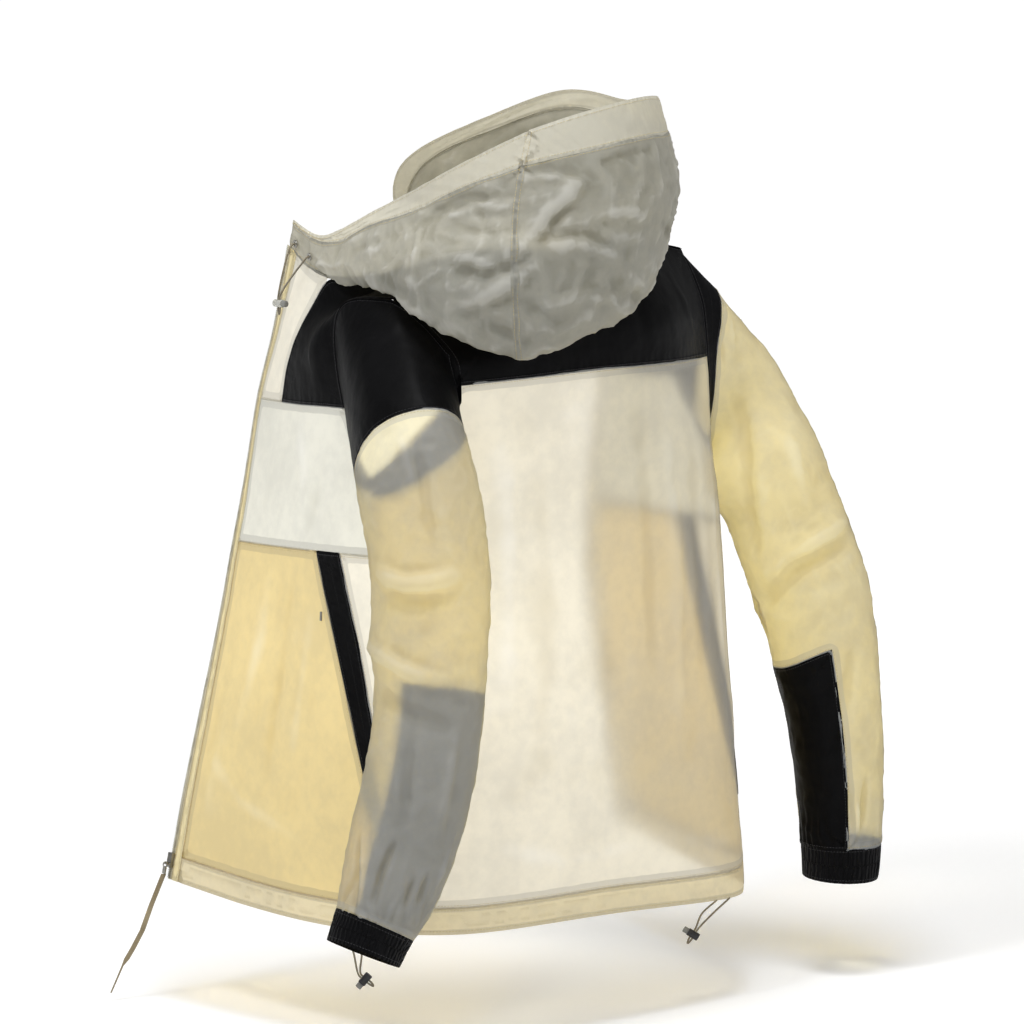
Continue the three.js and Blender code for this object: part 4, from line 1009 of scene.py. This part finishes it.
def tube(name, path, radius, material, sides=12):
    """A round tube along path, with metres along it and turns round it as its map."""
    tangents = np.gradient(path, axis=0)
    tangents /= np.linalg.norm(tangents, axis=1)[:, None]
    side = np.cross(tangents[0], (0.3, 0.2, 1.0))
    vertices, uvs = [], []
    along = np.concatenate([[0], np.cumsum(np.linalg.norm(np.diff(path, axis=0), axis=1))])
    for centre, tangent, length in zip(path, tangents, along):
        side = side - side.dot(tangent) * tangent
        side /= np.linalg.norm(side)
        other = np.cross(tangent, side)
        for k in range(sides):
            turn = 2 * math.pi * k / sides
            vertices.append(centre + radius * (math.cos(turn) * side + math.sin(turn) * other))
            uvs.append((length, k / sides))
    faces = []
    for row in range(len(path) - 1):
        for k in range(sides):
            a, b = row * sides + k, row * sides + (k + 1) % sides
            faces.append((a, b, b + sides, a + sides))
    last = (len(path) - 1) * sides
    faces += [tuple(range(sides - 1, -1, -1)), tuple(range(last, last + sides))]
    return new_piece(name, vertices, faces, material, uvs)


def belongs(piece, node, slot, body="jacket"):
    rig.ride(piece, body)
    if node:
        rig.replaces(piece, node)
    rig.slot(piece, slot)
    return piece


def make_cord(node, with_pieces):
    path, length = through(CORDS[node], 1.0)
    path = path * MM
    piece = tube(node + "_braid", path, CORD_RADIUS, CORD)
    belongs(piece, node, "cord")
    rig.cord(
        piece, exit=tuple(path[0]), length=round(length * MM, 3), diameter=2 * CORD_RADIUS, far_end="object",
        stiffness="limp", lay="hanging", path=[tuple(p) for p in path], with_pieces=with_pieces)


# Hard fittings: the CAD solid with its edges rounded and its own finish.

def fitting(node, material, slot, rounding, body="jacket", angle=32):
    piece = nodes[node].copy()
    piece.data = nodes[node].data.copy()
    piece.name = node + "_finished"
    piece.data.name = piece.name
    bpy.context.scene.collection.objects.link(piece)
    piece.parent = None
    shape = bmesh.new()
    shape.from_mesh(piece.data)
    bmesh.ops.remove_doubles(shape, verts=shape.verts, dist=1e-5)
    bmesh.ops.dissolve_limit(shape, angle_limit=math.radians(2), verts=shape.verts, edges=shape.edges)
    shape.to_mesh(piece.data)
    shape.free()
    piece.data.materials.clear()
    piece.data.materials.append(material)
    apply_modifier(
        piece, "BEVEL", width=rounding, segments=3, limit_method="ANGLE", angle_limit=math.radians(angle))
    only(piece)
    bpy.ops.object.shade_smooth_by_angle(angle=math.radians(40))
    return belongs(piece, node, slot, body)


# Cloth pieces.

def tuck_edges(piece):
    """A narrow strip turned under at each open edge, as sewn cloth has, so that no seam gapes."""
    mesh = piece.data
    names = [layer.name for layer in mesh.uv_layers]
    shape = bmesh.new()
    shape.from_mesh(mesh)
    rims = [e for e in shape.edges if len(e.link_faces) == 1]
    shape.normal_update()
    outward, normals = {}, {}
    for edge in rims:
        a, b = edge.verts
        middle = (a.co + b.co) / 2
        tangent = (b.co - a.co).normalized()
        side = middle - edge.link_faces[0].calc_center_median()
        side = (side - side.dot(tangent) * tangent).normalized()
        for v in edge.verts:
            outward[v] = outward.get(v, Vector()) + side
            normals[v] = v.normal.copy()
    grown = bmesh.ops.extrude_edge_only(shape, edges=rims)
    fresh = {v for v in grown["geom"] if isinstance(v, bmesh.types.BMVert)}
    for v in fresh:
        source = next(e.other_vert(v) for e in v.link_edges if e.other_vert(v) in outward)
        side = outward[source]
        if side.length > 1e-6:
            v.co += side.normalized() * TUCK - normals[source] * 0.4 * MM
    for name in names:
        layer = shape.loops.layers.uv[name]
        for v in fresh:
            source = next(e.other_vert(v) for e in v.link_edges if e.other_vert(v) in outward)
            inner = next(l for l in source.link_loops if l.face.normal.length and not fresh & set(l.face.verts))
            for loop in v.link_loops:
                loop[layer].uv = inner[layer].uv
            for loop in source.link_loops:
                if fresh & set(loop.face.verts):
                    loop[layer].uv = inner[layer].uv
    bmesh.ops.recalc_face_normals(shape, faces=shape.faces)
    shape.to_mesh(mesh)
    shape.free()


def rim_map(piece):
    """Each point's distance to the nearest open edge, and the length along that edge."""
    rims = open_edges(piece)
    points, along = [], []
    total = 0.0
    for rim in rims:
        line = np.array(rim["points"])
        steps = np.concatenate([[0], np.cumsum(np.linalg.norm(np.diff(line, axis=0), axis=1))])
        points.extend(line)
        along.extend(steps + total)
        total += steps[-1] + 0.01
    tree = kdtree.KDTree(len(points))
    for k, point in enumerate(points):
        tree.insert(point, k)
    tree.balance()
    result = []
    for vertex in piece.data.vertices:
        _, k, distance = tree.find(vertex.co)
        result.append((distance, along[k]))
    return rims, np.array(result)


SHELLS = {}
RIMS = {}


def make_cloth(node, away, chart, material, flat, area, slot, held="hung", levels=3, folds=(), ripple=1.2,
               shape=None, thickness=0.0, depth=1.0, crumple=0.0):
    piece = outer_layer(node, away)
    piece.data.materials.clear()
    piece.data.materials.append(material)
    apply_modifier(piece, "SUBSURF", levels=levels, render_levels=levels, boundary_smooth="PRESERVE_CORNERS")
    rims, edges = rim_map(piece)
    co, no = points_of(piece), normals_of(piece)
    height = depth * fold_heights(co, no, folds) if folds else np.zeros(len(co))
    if crumple:
        fade = 1 - np.exp(-edges[:, 0] / (6 * MM))
        height += fade * crumple_heights(co, 0.038, 0.75 * crumple * MM)
        height += fade * crumple_heights(co, 0.018, 0.5 * crumple * MM)
    height += ripple_heights(co, 0.062, ripple * MM) + ripple_heights(co, 0.017, 0.35 * ripple * MM)
    if shape is not None:
        height += shape(co, chart(co), edges)
    move_points(piece, co + no * height[:, None])
    set_map(piece, "UVMap", chart(co))
    set_map(piece, "edge", edges)
    # relief is the fold height; the sheer cloth uses it to paint shade into troughs and a highlight onto ridges.
    relief = piece.data.attributes.new("relief", "FLOAT", "POINT")
    relief.data.foreach_set("value", np.clip(height / (3.5 * MM), -1, 1).astype(np.float32))
    SHELLS[node] = piece
    RIMS[node] = open_edges(piece)
    facing = normals_of(piece).copy()
    tuck_edges(piece)
    if (normals_of(piece)[:len(facing)] * facing).sum() < 0:
        piece.data.flip_normals()
    if thickness:
        apply_modifier(piece, "SOLIDIFY", thickness=thickness, offset=-1, use_even_offset=False)
    piece.data.shade_smooth()
    belongs(piece, node, slot)
    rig.sheet(piece, flat=flat, held=held, area=area)
    return piece


def sleeve_gathers(axis, low, pitch, height, fall):
    def shape(co, chart, edges):
        distance = np.maximum(co[:, 2] - low(co), 0)
        near = distance < 4 * fall
        result = np.zeros(len(co))
        result[near] = gathers(chart[near, 0], distance[near], pitch, height, 4 * MM, fall)
        return result
    return shape


def cuff_wrinkles(co, chart, edges):
    wave = np.array([
        math.sin(2 * math.pi * u / 0.0062 + 6 * noise.noise(Vector((u / 0.02, v / 0.05, 2.0))))
        * (0.5 + 0.9 * abs(noise.noise(Vector((u / 0.011, 0.0, 7.0)))))
        for u, v in chart])
    return 0.7 * MM * wave * (1 - np.exp(-edges[:, 0] / (3 * MM)))


def casing_gathers(middle, radius, pitch, height):
    def shape(co, chart, edges):
        turn = np.arctan2(co[:, 2] - middle[1], co[:, 0] - middle[0]) * radius
        wave = np.array([
            math.sin(2 * math.pi * u / pitch + 5 * noise.noise(Vector((u / 0.03, 0.0, 5.0))))
            * (0.4 + abs(noise.noise(Vector((u / 0.02, 3.0, 5.0)))))
            for u in turn])
        return height * wave * (1 - np.exp(-edges[:, 0] / (2.5 * MM)))
    return shape


def seam_bridge(name, node, wanted, targets, material, slot, inside=0.4 * MM):
    """Cloth turned in at a sewn edge: from a piece's rim down to the nearest point of its neighbours."""
    trees = [BVHTree.FromObject(SHELLS[t], bpy.context.evaluated_depsgraph_get()) for t in targets]
    vertices, faces, uvs = [], [], []
    for rim in RIMS[node]:
        if not wanted(rim["middle"]):
            continue
        first = len(vertices)
        length = 0.0
        for k, (point, normal) in enumerate(zip(rim["points"], rim["normals"])):
            point, normal = Vector(point), Vector(normal)
            hits = [tree.find_nearest(point, 0.02) for tree in trees]
            hits = [hit for hit in hits if hit[0] is not None]
            hit = min(hits, key=lambda h: h[3]) if hits else None
            end = hit[0] - hit[1] * inside if hit else point - normal * 3 * MM
            if k:
                length += (point - Vector(rim["points"][k - 1])).length
            gap = (end - point).length
            for row, share in enumerate((0.0, 0.35, 0.7, 1.0)):
                bulge = normal * 0.35 * MM * math.sin(math.pi * share)
                vertices.append(point.lerp(end, share) + bulge)
                uvs.append((length, gap * share))
        for k in range(len(rim["points"]) - 1):
            for row in range(3):
                a = first + 4 * k + row
                faces.append((a, a + 1, a + 5, a + 4))
    if not faces:
        return None
    piece = new_piece(name, vertices, faces, material, uvs)
    set_map(piece, "edge", [(v, u) for u, v in uvs])
    apply_modifier(piece, "SOLIDIFY", thickness=0.4 * MM, offset=-1)
    return belongs(piece, None, slot)


# Sewing: one stitch is modelled and copied along the rims.

def stitch_shape():
    deselect()
    bpy.ops.mesh.primitive_uv_sphere_add(segments=6, ring_count=4, radius=0.5)
    stitch = bpy.context.object
    bpy.ops.object.mode_set(mode="EDIT")
    bpy.ops.mesh.select_all(action="SELECT")
    bpy.ops.transform.rotate(value=math.pi / 2, orient_axis="Y", center_override=(0, 0, 0))
    bpy.ops.transform.resize(value=(STITCH_LENGTH, STITCH_WIDTH, 0.45 * STITCH_WIDTH), center_override=(0, 0, 0))
    bpy.ops.object.mode_set(mode="OBJECT")
    shape = points_of(stitch).copy(), [tuple(p.vertices) for p in stitch.data.polygons]
    bpy.data.objects.remove(stitch)
    return shape


def copies_along(name, lines, shape, pitch, material, slot, tilt=0.0):
    """One shape repeated along lines of (point, inward, normal), each line a list in order."""
    base, base_faces = shape
    vertices, faces = [], []
    for line in lines:
        points = np.array([p for p, _, _ in line])
        inward = np.array([w for _, w, _ in line])
        normal = np.array([n for _, _, n in line])
        lengths = np.concatenate([[0], np.cumsum(np.linalg.norm(np.diff(points, axis=0), axis=1))])
        count = int(lengths[-1] / pitch)
        places = (np.arange(count) + 0.5) * pitch
        at = np.column_stack([np.interp(places, lengths, points[:, k]) for k in range(3)])
        side = np.column_stack([np.interp(places, lengths, inward[:, k]) for k in range(3)])
        up = np.column_stack([np.interp(places, lengths, normal[:, k]) for k in range(3)])
        ahead = np.column_stack([
            np.interp(places + 0.4 * pitch, lengths, points[:, k])
            - np.interp(places - 0.4 * pitch, lengths, points[:, k]) for k in range(3)])
        for p, x, y, z in zip(at, ahead, side, up):
            x = x / max(np.linalg.norm(x), 1e-9)
            z = z - z.dot(x) * x
            z = z / max(np.linalg.norm(z), 1e-9)
            y = np.cross(z, x)
            x = x + tilt * y
            first = len(vertices)
            vertices.extend(p + v[0] * x + v[1] * y + v[2] * z for v in base)
            faces.extend(tuple(first + i for i in face) for face in base_faces)
    piece = new_piece(name, vertices, faces, material)
    return belongs(piece, None, slot)


def rows_beside(nodes_wanted, inset, shortest=0.03, lift=0.15 * MM):
    lines = []
    for node in nodes_wanted:
        tree = BVHTree.FromObject(SHELLS[node], bpy.context.evaluated_depsgraph_get())
        for rim in RIMS[node]:
            points = np.array(rim["points"])
            if np.linalg.norm(np.diff(points, axis=0), axis=1).sum() < shortest:
                continue
            line = []
            for point, side, normal in zip(rim["points"], rim["inward"], rim["normals"]):
                place = Vector(point) + inset * Vector(side)
                hit = tree.find_nearest(place, 0.006)
                if hit[0] is None:
                    continue
                up = hit[1] if hit[1].dot(Vector(normal)) > 0 else -hit[1]
                line.append((tuple(hit[0] + lift * up), side, tuple(up)))
            if len(line) > 4:
                lines.append(line)
    return lines


# Making. Cords first.

for hem_or_hood in ("hood", "hem"):
    for end in ("left", "right"):
        stop = f"{hem_or_hood}_stop_{end}"
        barrel = fitting(
            f"{stop}_barrel", STOP_BLACK if hem_or_hood == "hem" else STOP_CLEAR, "stop_plastic", 0.4 * MM)
        button = fitting(f"{stop}_button", STOP_GREY, "stop_plastic", 0.4 * MM)
        make_cord(f"{hem_or_hood}_cord_{end}", [barrel, button])

FRONT = from_point(0, -0.10, -0.35)
YOKE = from_point(0, -0.05, -0.25)
BACK = from_point(0, -0.05, -0.35)
HOOD = from_point(0.02, 0.02, 0.03)

for end, sign in (("left", 1), ("right", -1)):
    left = end == "left"
    make_cloth(
        f"zip_tape_{end}", FRONT, chart_side, TAPE, (0.010, 0.66), 0.0042, "zip_tape", levels=2, ripple=0.3)
    make_cloth(
        f"front_facing_{end}", FRONT, chart_side, SHEER["facing_cloth"], (0.0105, 0.66), 0.0066, "facing_cloth",
        levels=2, ripple=0.4)
    make_cloth(
        f"front_upper_{end}", FRONT, chart_side, SHEER["sheer_side"], (0.08, 0.16), 0.0075, "sheer_side",
        folds=BODY_FOLDS)
    make_cloth(
        f"yoke_front_{end}", YOKE, chart_side, BLACK, (0.16, 0.22), 0.0200, "black_cloth", folds=BODY_FOLDS)
    make_cloth(
        f"front_chest_{end}", FRONT, chart_side, SHEER["sheer_pale"], (0.26, 0.16), 0.0322, "sheer_pale",
        folds=BODY_FOLDS)
    make_cloth(
        f"front_lower_{end}", FRONT, chart_side, SHEER["sheer_yellow"], (0.31, 0.35), 0.0798, "sheer_yellow",
        folds=BODY_FOLDS)
    make_cloth(
        f"pocket_strip_{end}", FRONT, chart_side, BLACK, (0.035, 0.29), 0.0074, "black_cloth", folds=BODY_FOLDS,
        ripple=0.6)
    make_cloth(
        f"front_side_{end}", FRONT, chart_side, SHEER["sheer_side"], (0.07, 0.21), 0.0058, "sheer_side",
        folds=BODY_FOLDS)
    make_cloth(
        f"hem_casing_front_{end}", FRONT, chart_side, SHEER["casing_cloth"], (0.31, 0.026), 0.0075,
        "casing_cloth", levels=2, ripple=0.8)

make_cloth("yoke_back", BACK, chart_across, BLACK, (0.44, 0.16), 0.0532, "black_cloth", folds=BODY_FOLDS)
make_cloth(
    "back_panel", BACK, chart_across, SHEER["sheer_cream"], (0.52, 0.54), 0.2610, "sheer_cream",
    folds=BODY_FOLDS, ripple=1.8, depth=1.3)
make_cloth(
    "hem_casing_back", BACK, chart_across, SHEER["casing_cloth"], (0.52, 0.027), 0.0135, "casing_cloth",
    levels=2, ripple=0.8)

SLEEVES = {
    "left": {"folds": LEFT_SLEEVE_FOLDS, "cap": (0.28, 0.2, 0.0345), "main": (0.38, 0.5, 0.1405),
             "panel": (0.11, 0.23, 0.0222), "cuff": (0.2, 0.05, 0.0067)},
    "right": {"folds": RIGHT_SLEEVE_FOLDS, "cap": (0.2, 0.14, 0.0147), "main": (0.38, 0.56, 0.1643),
              "panel": (0.1, 0.22, 0.0161), "cuff": (0.22, 0.045, 0.0087)},
}
for end, sleeve in SLEEVES.items():
    axis = axis_of(f"sleeve_main_{end}")
    away = from_axis(axis)
    round_chart = chart_round(axis, 0.055)
    cuff_top = points_of(nodes[f"cuff_{end}"])
    cuff_top = cuff_top[cuff_top[:, 2] > cuff_top[:, 2].max() - 0.012]

    def low(co, top=cuff_top):
        fit = np.linalg.lstsq(np.column_stack([top[:, :2], np.ones(len(top))]), top[:, 2], rcond=None)[0]
        return co[:, :2] @ fit[:2] + fit[2]

    gathered = sleeve_gathers(axis, low, 13 * MM, 1.5 * MM, 22 * MM)
    for part, material, slot in (
            ("sleeve_main", SHEER["sheer_sleeve"], "sheer_sleeve"), ("forearm_panel", BLACK, "black_cloth")):
        width, length, area = sleeve["main" if part == "sleeve_main" else "panel"]
        make_cloth(
            f"{part}_{end}", away, round_chart, material, (width, length), area, slot, folds=sleeve["folds"],
            ripple=2.2, shape=gathered, depth=2.3, crumple=1.3)
    width, length, area = sleeve["cap"]
    cap = points_of(nodes[f"sleeve_cap_{end}"]).mean(0)
    make_cloth(
        f"sleeve_cap_{end}", from_point(cap[0], cap[1], cap[2] - 0.02), chart_side, BLACK, (width, length), area,
        "black_cloth", folds=sleeve["folds"])
    width, length, area = sleeve["cuff"]
    cuff_axis = axis_of(f"cuff_{end}")
    make_cloth(
        f"cuff_{end}", from_axis(cuff_axis), chart_round(cuff_axis, 0.035), CUFF, (width, length), area,
        "elastic_cuff", ripple=0.6, shape=cuff_wrinkles)

make_cloth(
    "hood_left", HOOD, chart_hood, SHEER["hood_cloth"], (0.36, 0.2), 0.0542, "hood_cloth", folds=HOOD_FOLDS,
    ripple=2.2, depth=1.7, crumple=3.6)
make_cloth(
    "hood_right", HOOD, chart_hood, SHEER["hood_cloth"], (0.55, 0.28), 0.1197, "hood_cloth", folds=HOOD_FOLDS,
    ripple=2.2, depth=1.7, crumple=3.6)
mouth_gathers = casing_gathers((0.03, 0.04), 0.11, 9 * MM, 0.9 * MM)
make_cloth(
    "hood_casing_left", HOOD, chart_hood, SHEER["hood_casing"], (0.26, 0.03), 0.0065, "casing_cloth",
    folds=HOOD_FOLDS, ripple=0.8, shape=mouth_gathers)
make_cloth(
    "hood_casing_right", HOOD, chart_hood, SHEER["hood_casing"], (0.62, 0.034), 0.0189, "casing_cloth",
    folds=HOOD_FOLDS, ripple=0.8, shape=mouth_gathers)

# Turned-in cloth at the armholes and the hood's neck seam.
for end, sign in (("left", 1), ("right", -1)):
    body = [f"yoke_front_{end}", f"front_chest_{end}", f"front_side_{end}", "yoke_back", "back_panel"]
    top = 0.075
    seam_bridge(
        f"armhole_cap_{end}", f"sleeve_cap_{end}", lambda p: True, body + [f"sleeve_main_{end}"], BLACK,
        "black_cloth")
    seam_bridge(
        f"armhole_main_{end}", f"sleeve_main_{end}", lambda p: p.z > -0.30, body + [f"sleeve_cap_{end}"],
        SHEER["sheer_sleeve"], "sheer_sleeve")
    seam_bridge(
        f"neck_seam_{end}", f"hood_{end}", lambda p: p.z < -0.02, ["yoke_back", "yoke_front_left",
        "yoke_front_right", "front_upper_left", "front_upper_right"], SHEER["hood_cloth"], "hood_cloth")

stitch = stitch_shape()
pale_nodes = ["back_panel", "hem_casing_back"]
for end in ("left", "right"):
    pale = [f"front_lower_{end}", f"front_facing_{end}", f"hem_casing_front_{end}", f"sleeve_main_{end}",
            f"hood_{end}", f"hood_casing_{end}", f"front_side_{end}"]
    dark = [f"yoke_front_{end}", f"pocket_strip_{end}", f"sleeve_cap_{end}", f"forearm_panel_{end}", f"cuff_{end}"]
    copies_along(
        f"stitches_pale_{end}", rows_beside(pale, STITCH_INSET), stitch, STITCH_PITCH, STITCH_PALE, "casing_cloth")
    copies_along(
        f"stitches_dark_{end}", rows_beside(dark, STITCH_INSET), stitch, STITCH_PITCH, STITCH_DARK, "black_cloth")
copies_along(
    "stitches_pale_back", rows_beside(pale_nodes, STITCH_INSET), stitch, STITCH_PITCH, STITCH_PALE, "casing_cloth")
copies_along(
    "stitches_dark_back", rows_beside(["yoke_back"], STITCH_INSET), stitch, STITCH_PITCH, STITCH_DARK,
    "black_cloth")


def tooth_shape():
    deselect()
    bpy.ops.mesh.primitive_cube_add(size=1)
    tooth = bpy.context.object
    bpy.ops.object.mode_set(mode="EDIT")
    bpy.ops.mesh.select_all(action="SELECT")
    bpy.ops.transform.resize(value=(1.15 * MM, 2.4 * MM, 1.1 * MM), center_override=(0, 0, 0))
    bpy.ops.mesh.bevel(offset=0.25 * MM, segments=1)
    bpy.ops.object.mode_set(mode="OBJECT")
    shape = points_of(tooth).copy(), [tuple(p.vertices) for p in tooth.data.polygons]
    bpy.data.objects.remove(tooth)
    return shape


tooth = tooth_shape()
for end in ("left", "right"):
    rims = [r for r in RIMS[f"zip_tape_{end}"] if len(r["points"]) > 20]
    front = min(rims, key=lambda r: r["middle"].y)
    line = list(zip(front["points"], front["inward"], front["normals"]))
    copies_along(f"zip_teeth_{end}", [line], tooth, 2.2 * MM, TEETH, "zip_tape")

for end in ("left", "right"):
    for place in ("front", "back"):
        fitting(f"hood_eyelet_{place}_{end}", METAL, "stop_plastic", 0.2 * MM)
    fitting(f"pocket_pull_{end}", STOP_GREY, "stop_plastic", 0.3 * MM)
fitting("zip_slider", METAL, "slider_metal", 0.4 * MM)
fitting("zip_pull", METAL, "slider_metal", 0.25 * MM, "pull")
tail = fitting("zip_tail", RIBBON, "ribbon", 0.15 * MM, "pull")
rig.sheet(tail, flat=(0.01, 0.137), held="hung", area=0.0007)

# Studio: pale floor, white surround, soft lights.

def studio():
    deselect()
    bpy.ops.mesh.primitive_circle_add(vertices=96, radius=60, fill_type="NGON", location=(0, 0, FLOOR_Z))
    floor = bpy.context.object
    floor.name = "floor"
    bpy.ops.object.transform_apply(location=True)
    material, tree, shader, output = new_material("floor")
    place = tree.nodes.new("ShaderNodeTexCoord")
    far = tree.nodes.new("ShaderNodeVectorMath")
    far.operation = "LENGTH"
    tree.links.new(place.outputs["Object"], far.inputs[0])
    haze = step_between(tree, far.outputs["Value"], 0.6, 3.0)
    shader.inputs["Base Color"].default_value = (0.93, 0.93, 0.93, 1)
    shader.inputs["Roughness"].default_value = 0.9
    shader.inputs["Specular IOR Level"].default_value = 0.0
    shader.inputs["Emission Color"].default_value = (1, 1, 1, 1)
    tree.links.new(maths(tree, "MULTIPLY_ADD", haze, 0.6, 0.15), shader.inputs["Emission Strength"])
    floor.data.materials.append(material)
    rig.stage(floor)

    world = bpy.data.worlds.new("studio")
    bpy.context.scene.world = world
    world.use_nodes = True
    background = world.node_tree.nodes["Background"]
    background.inputs["Color"].default_value = (1, 1, 1, 1)
    background.inputs["Strength"].default_value = 0.31

    toward = Vector((math.sin(AZIMUTH), math.cos(AZIMUTH), 0))
    right = Vector((-math.cos(AZIMUTH), math.sin(AZIMUTH), 0))
    for name, place, size, power in (
            ("key", 1.7 * toward - 1.3 * right + Vector((0, 0, 2.0)), 0.6, 34),
            ("fill", 2.6 * toward + 2.4 * right + Vector((0, 0, 0.6)), 2.0, 12),
            ("top", 0.9 * toward + Vector((0, 0, 2.5)), 1.1, 60)):
        data = bpy.data.lights.new(name, "AREA")
        data.shape = "DISK"
        data.size = size
        data.energy = power
        light = bpy.data.objects.new(name, data)
        bpy.context.scene.collection.objects.link(light)
        light.location = place
        light.rotation_euler = (place - Vector((0, 0, -0.3))).to_track_quat("Z", "Y").to_euler()


studio()
bpy.context.scene.view_settings.view_transform = "Standard"
bpy.context.scene.cycles.transparent_max_bounces = 24

with open("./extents.json", "w") as handle:
    json.dump({"cad": start_box, "visual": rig.bounds()}, handle, default=lambda v: [float(x) for x in v])
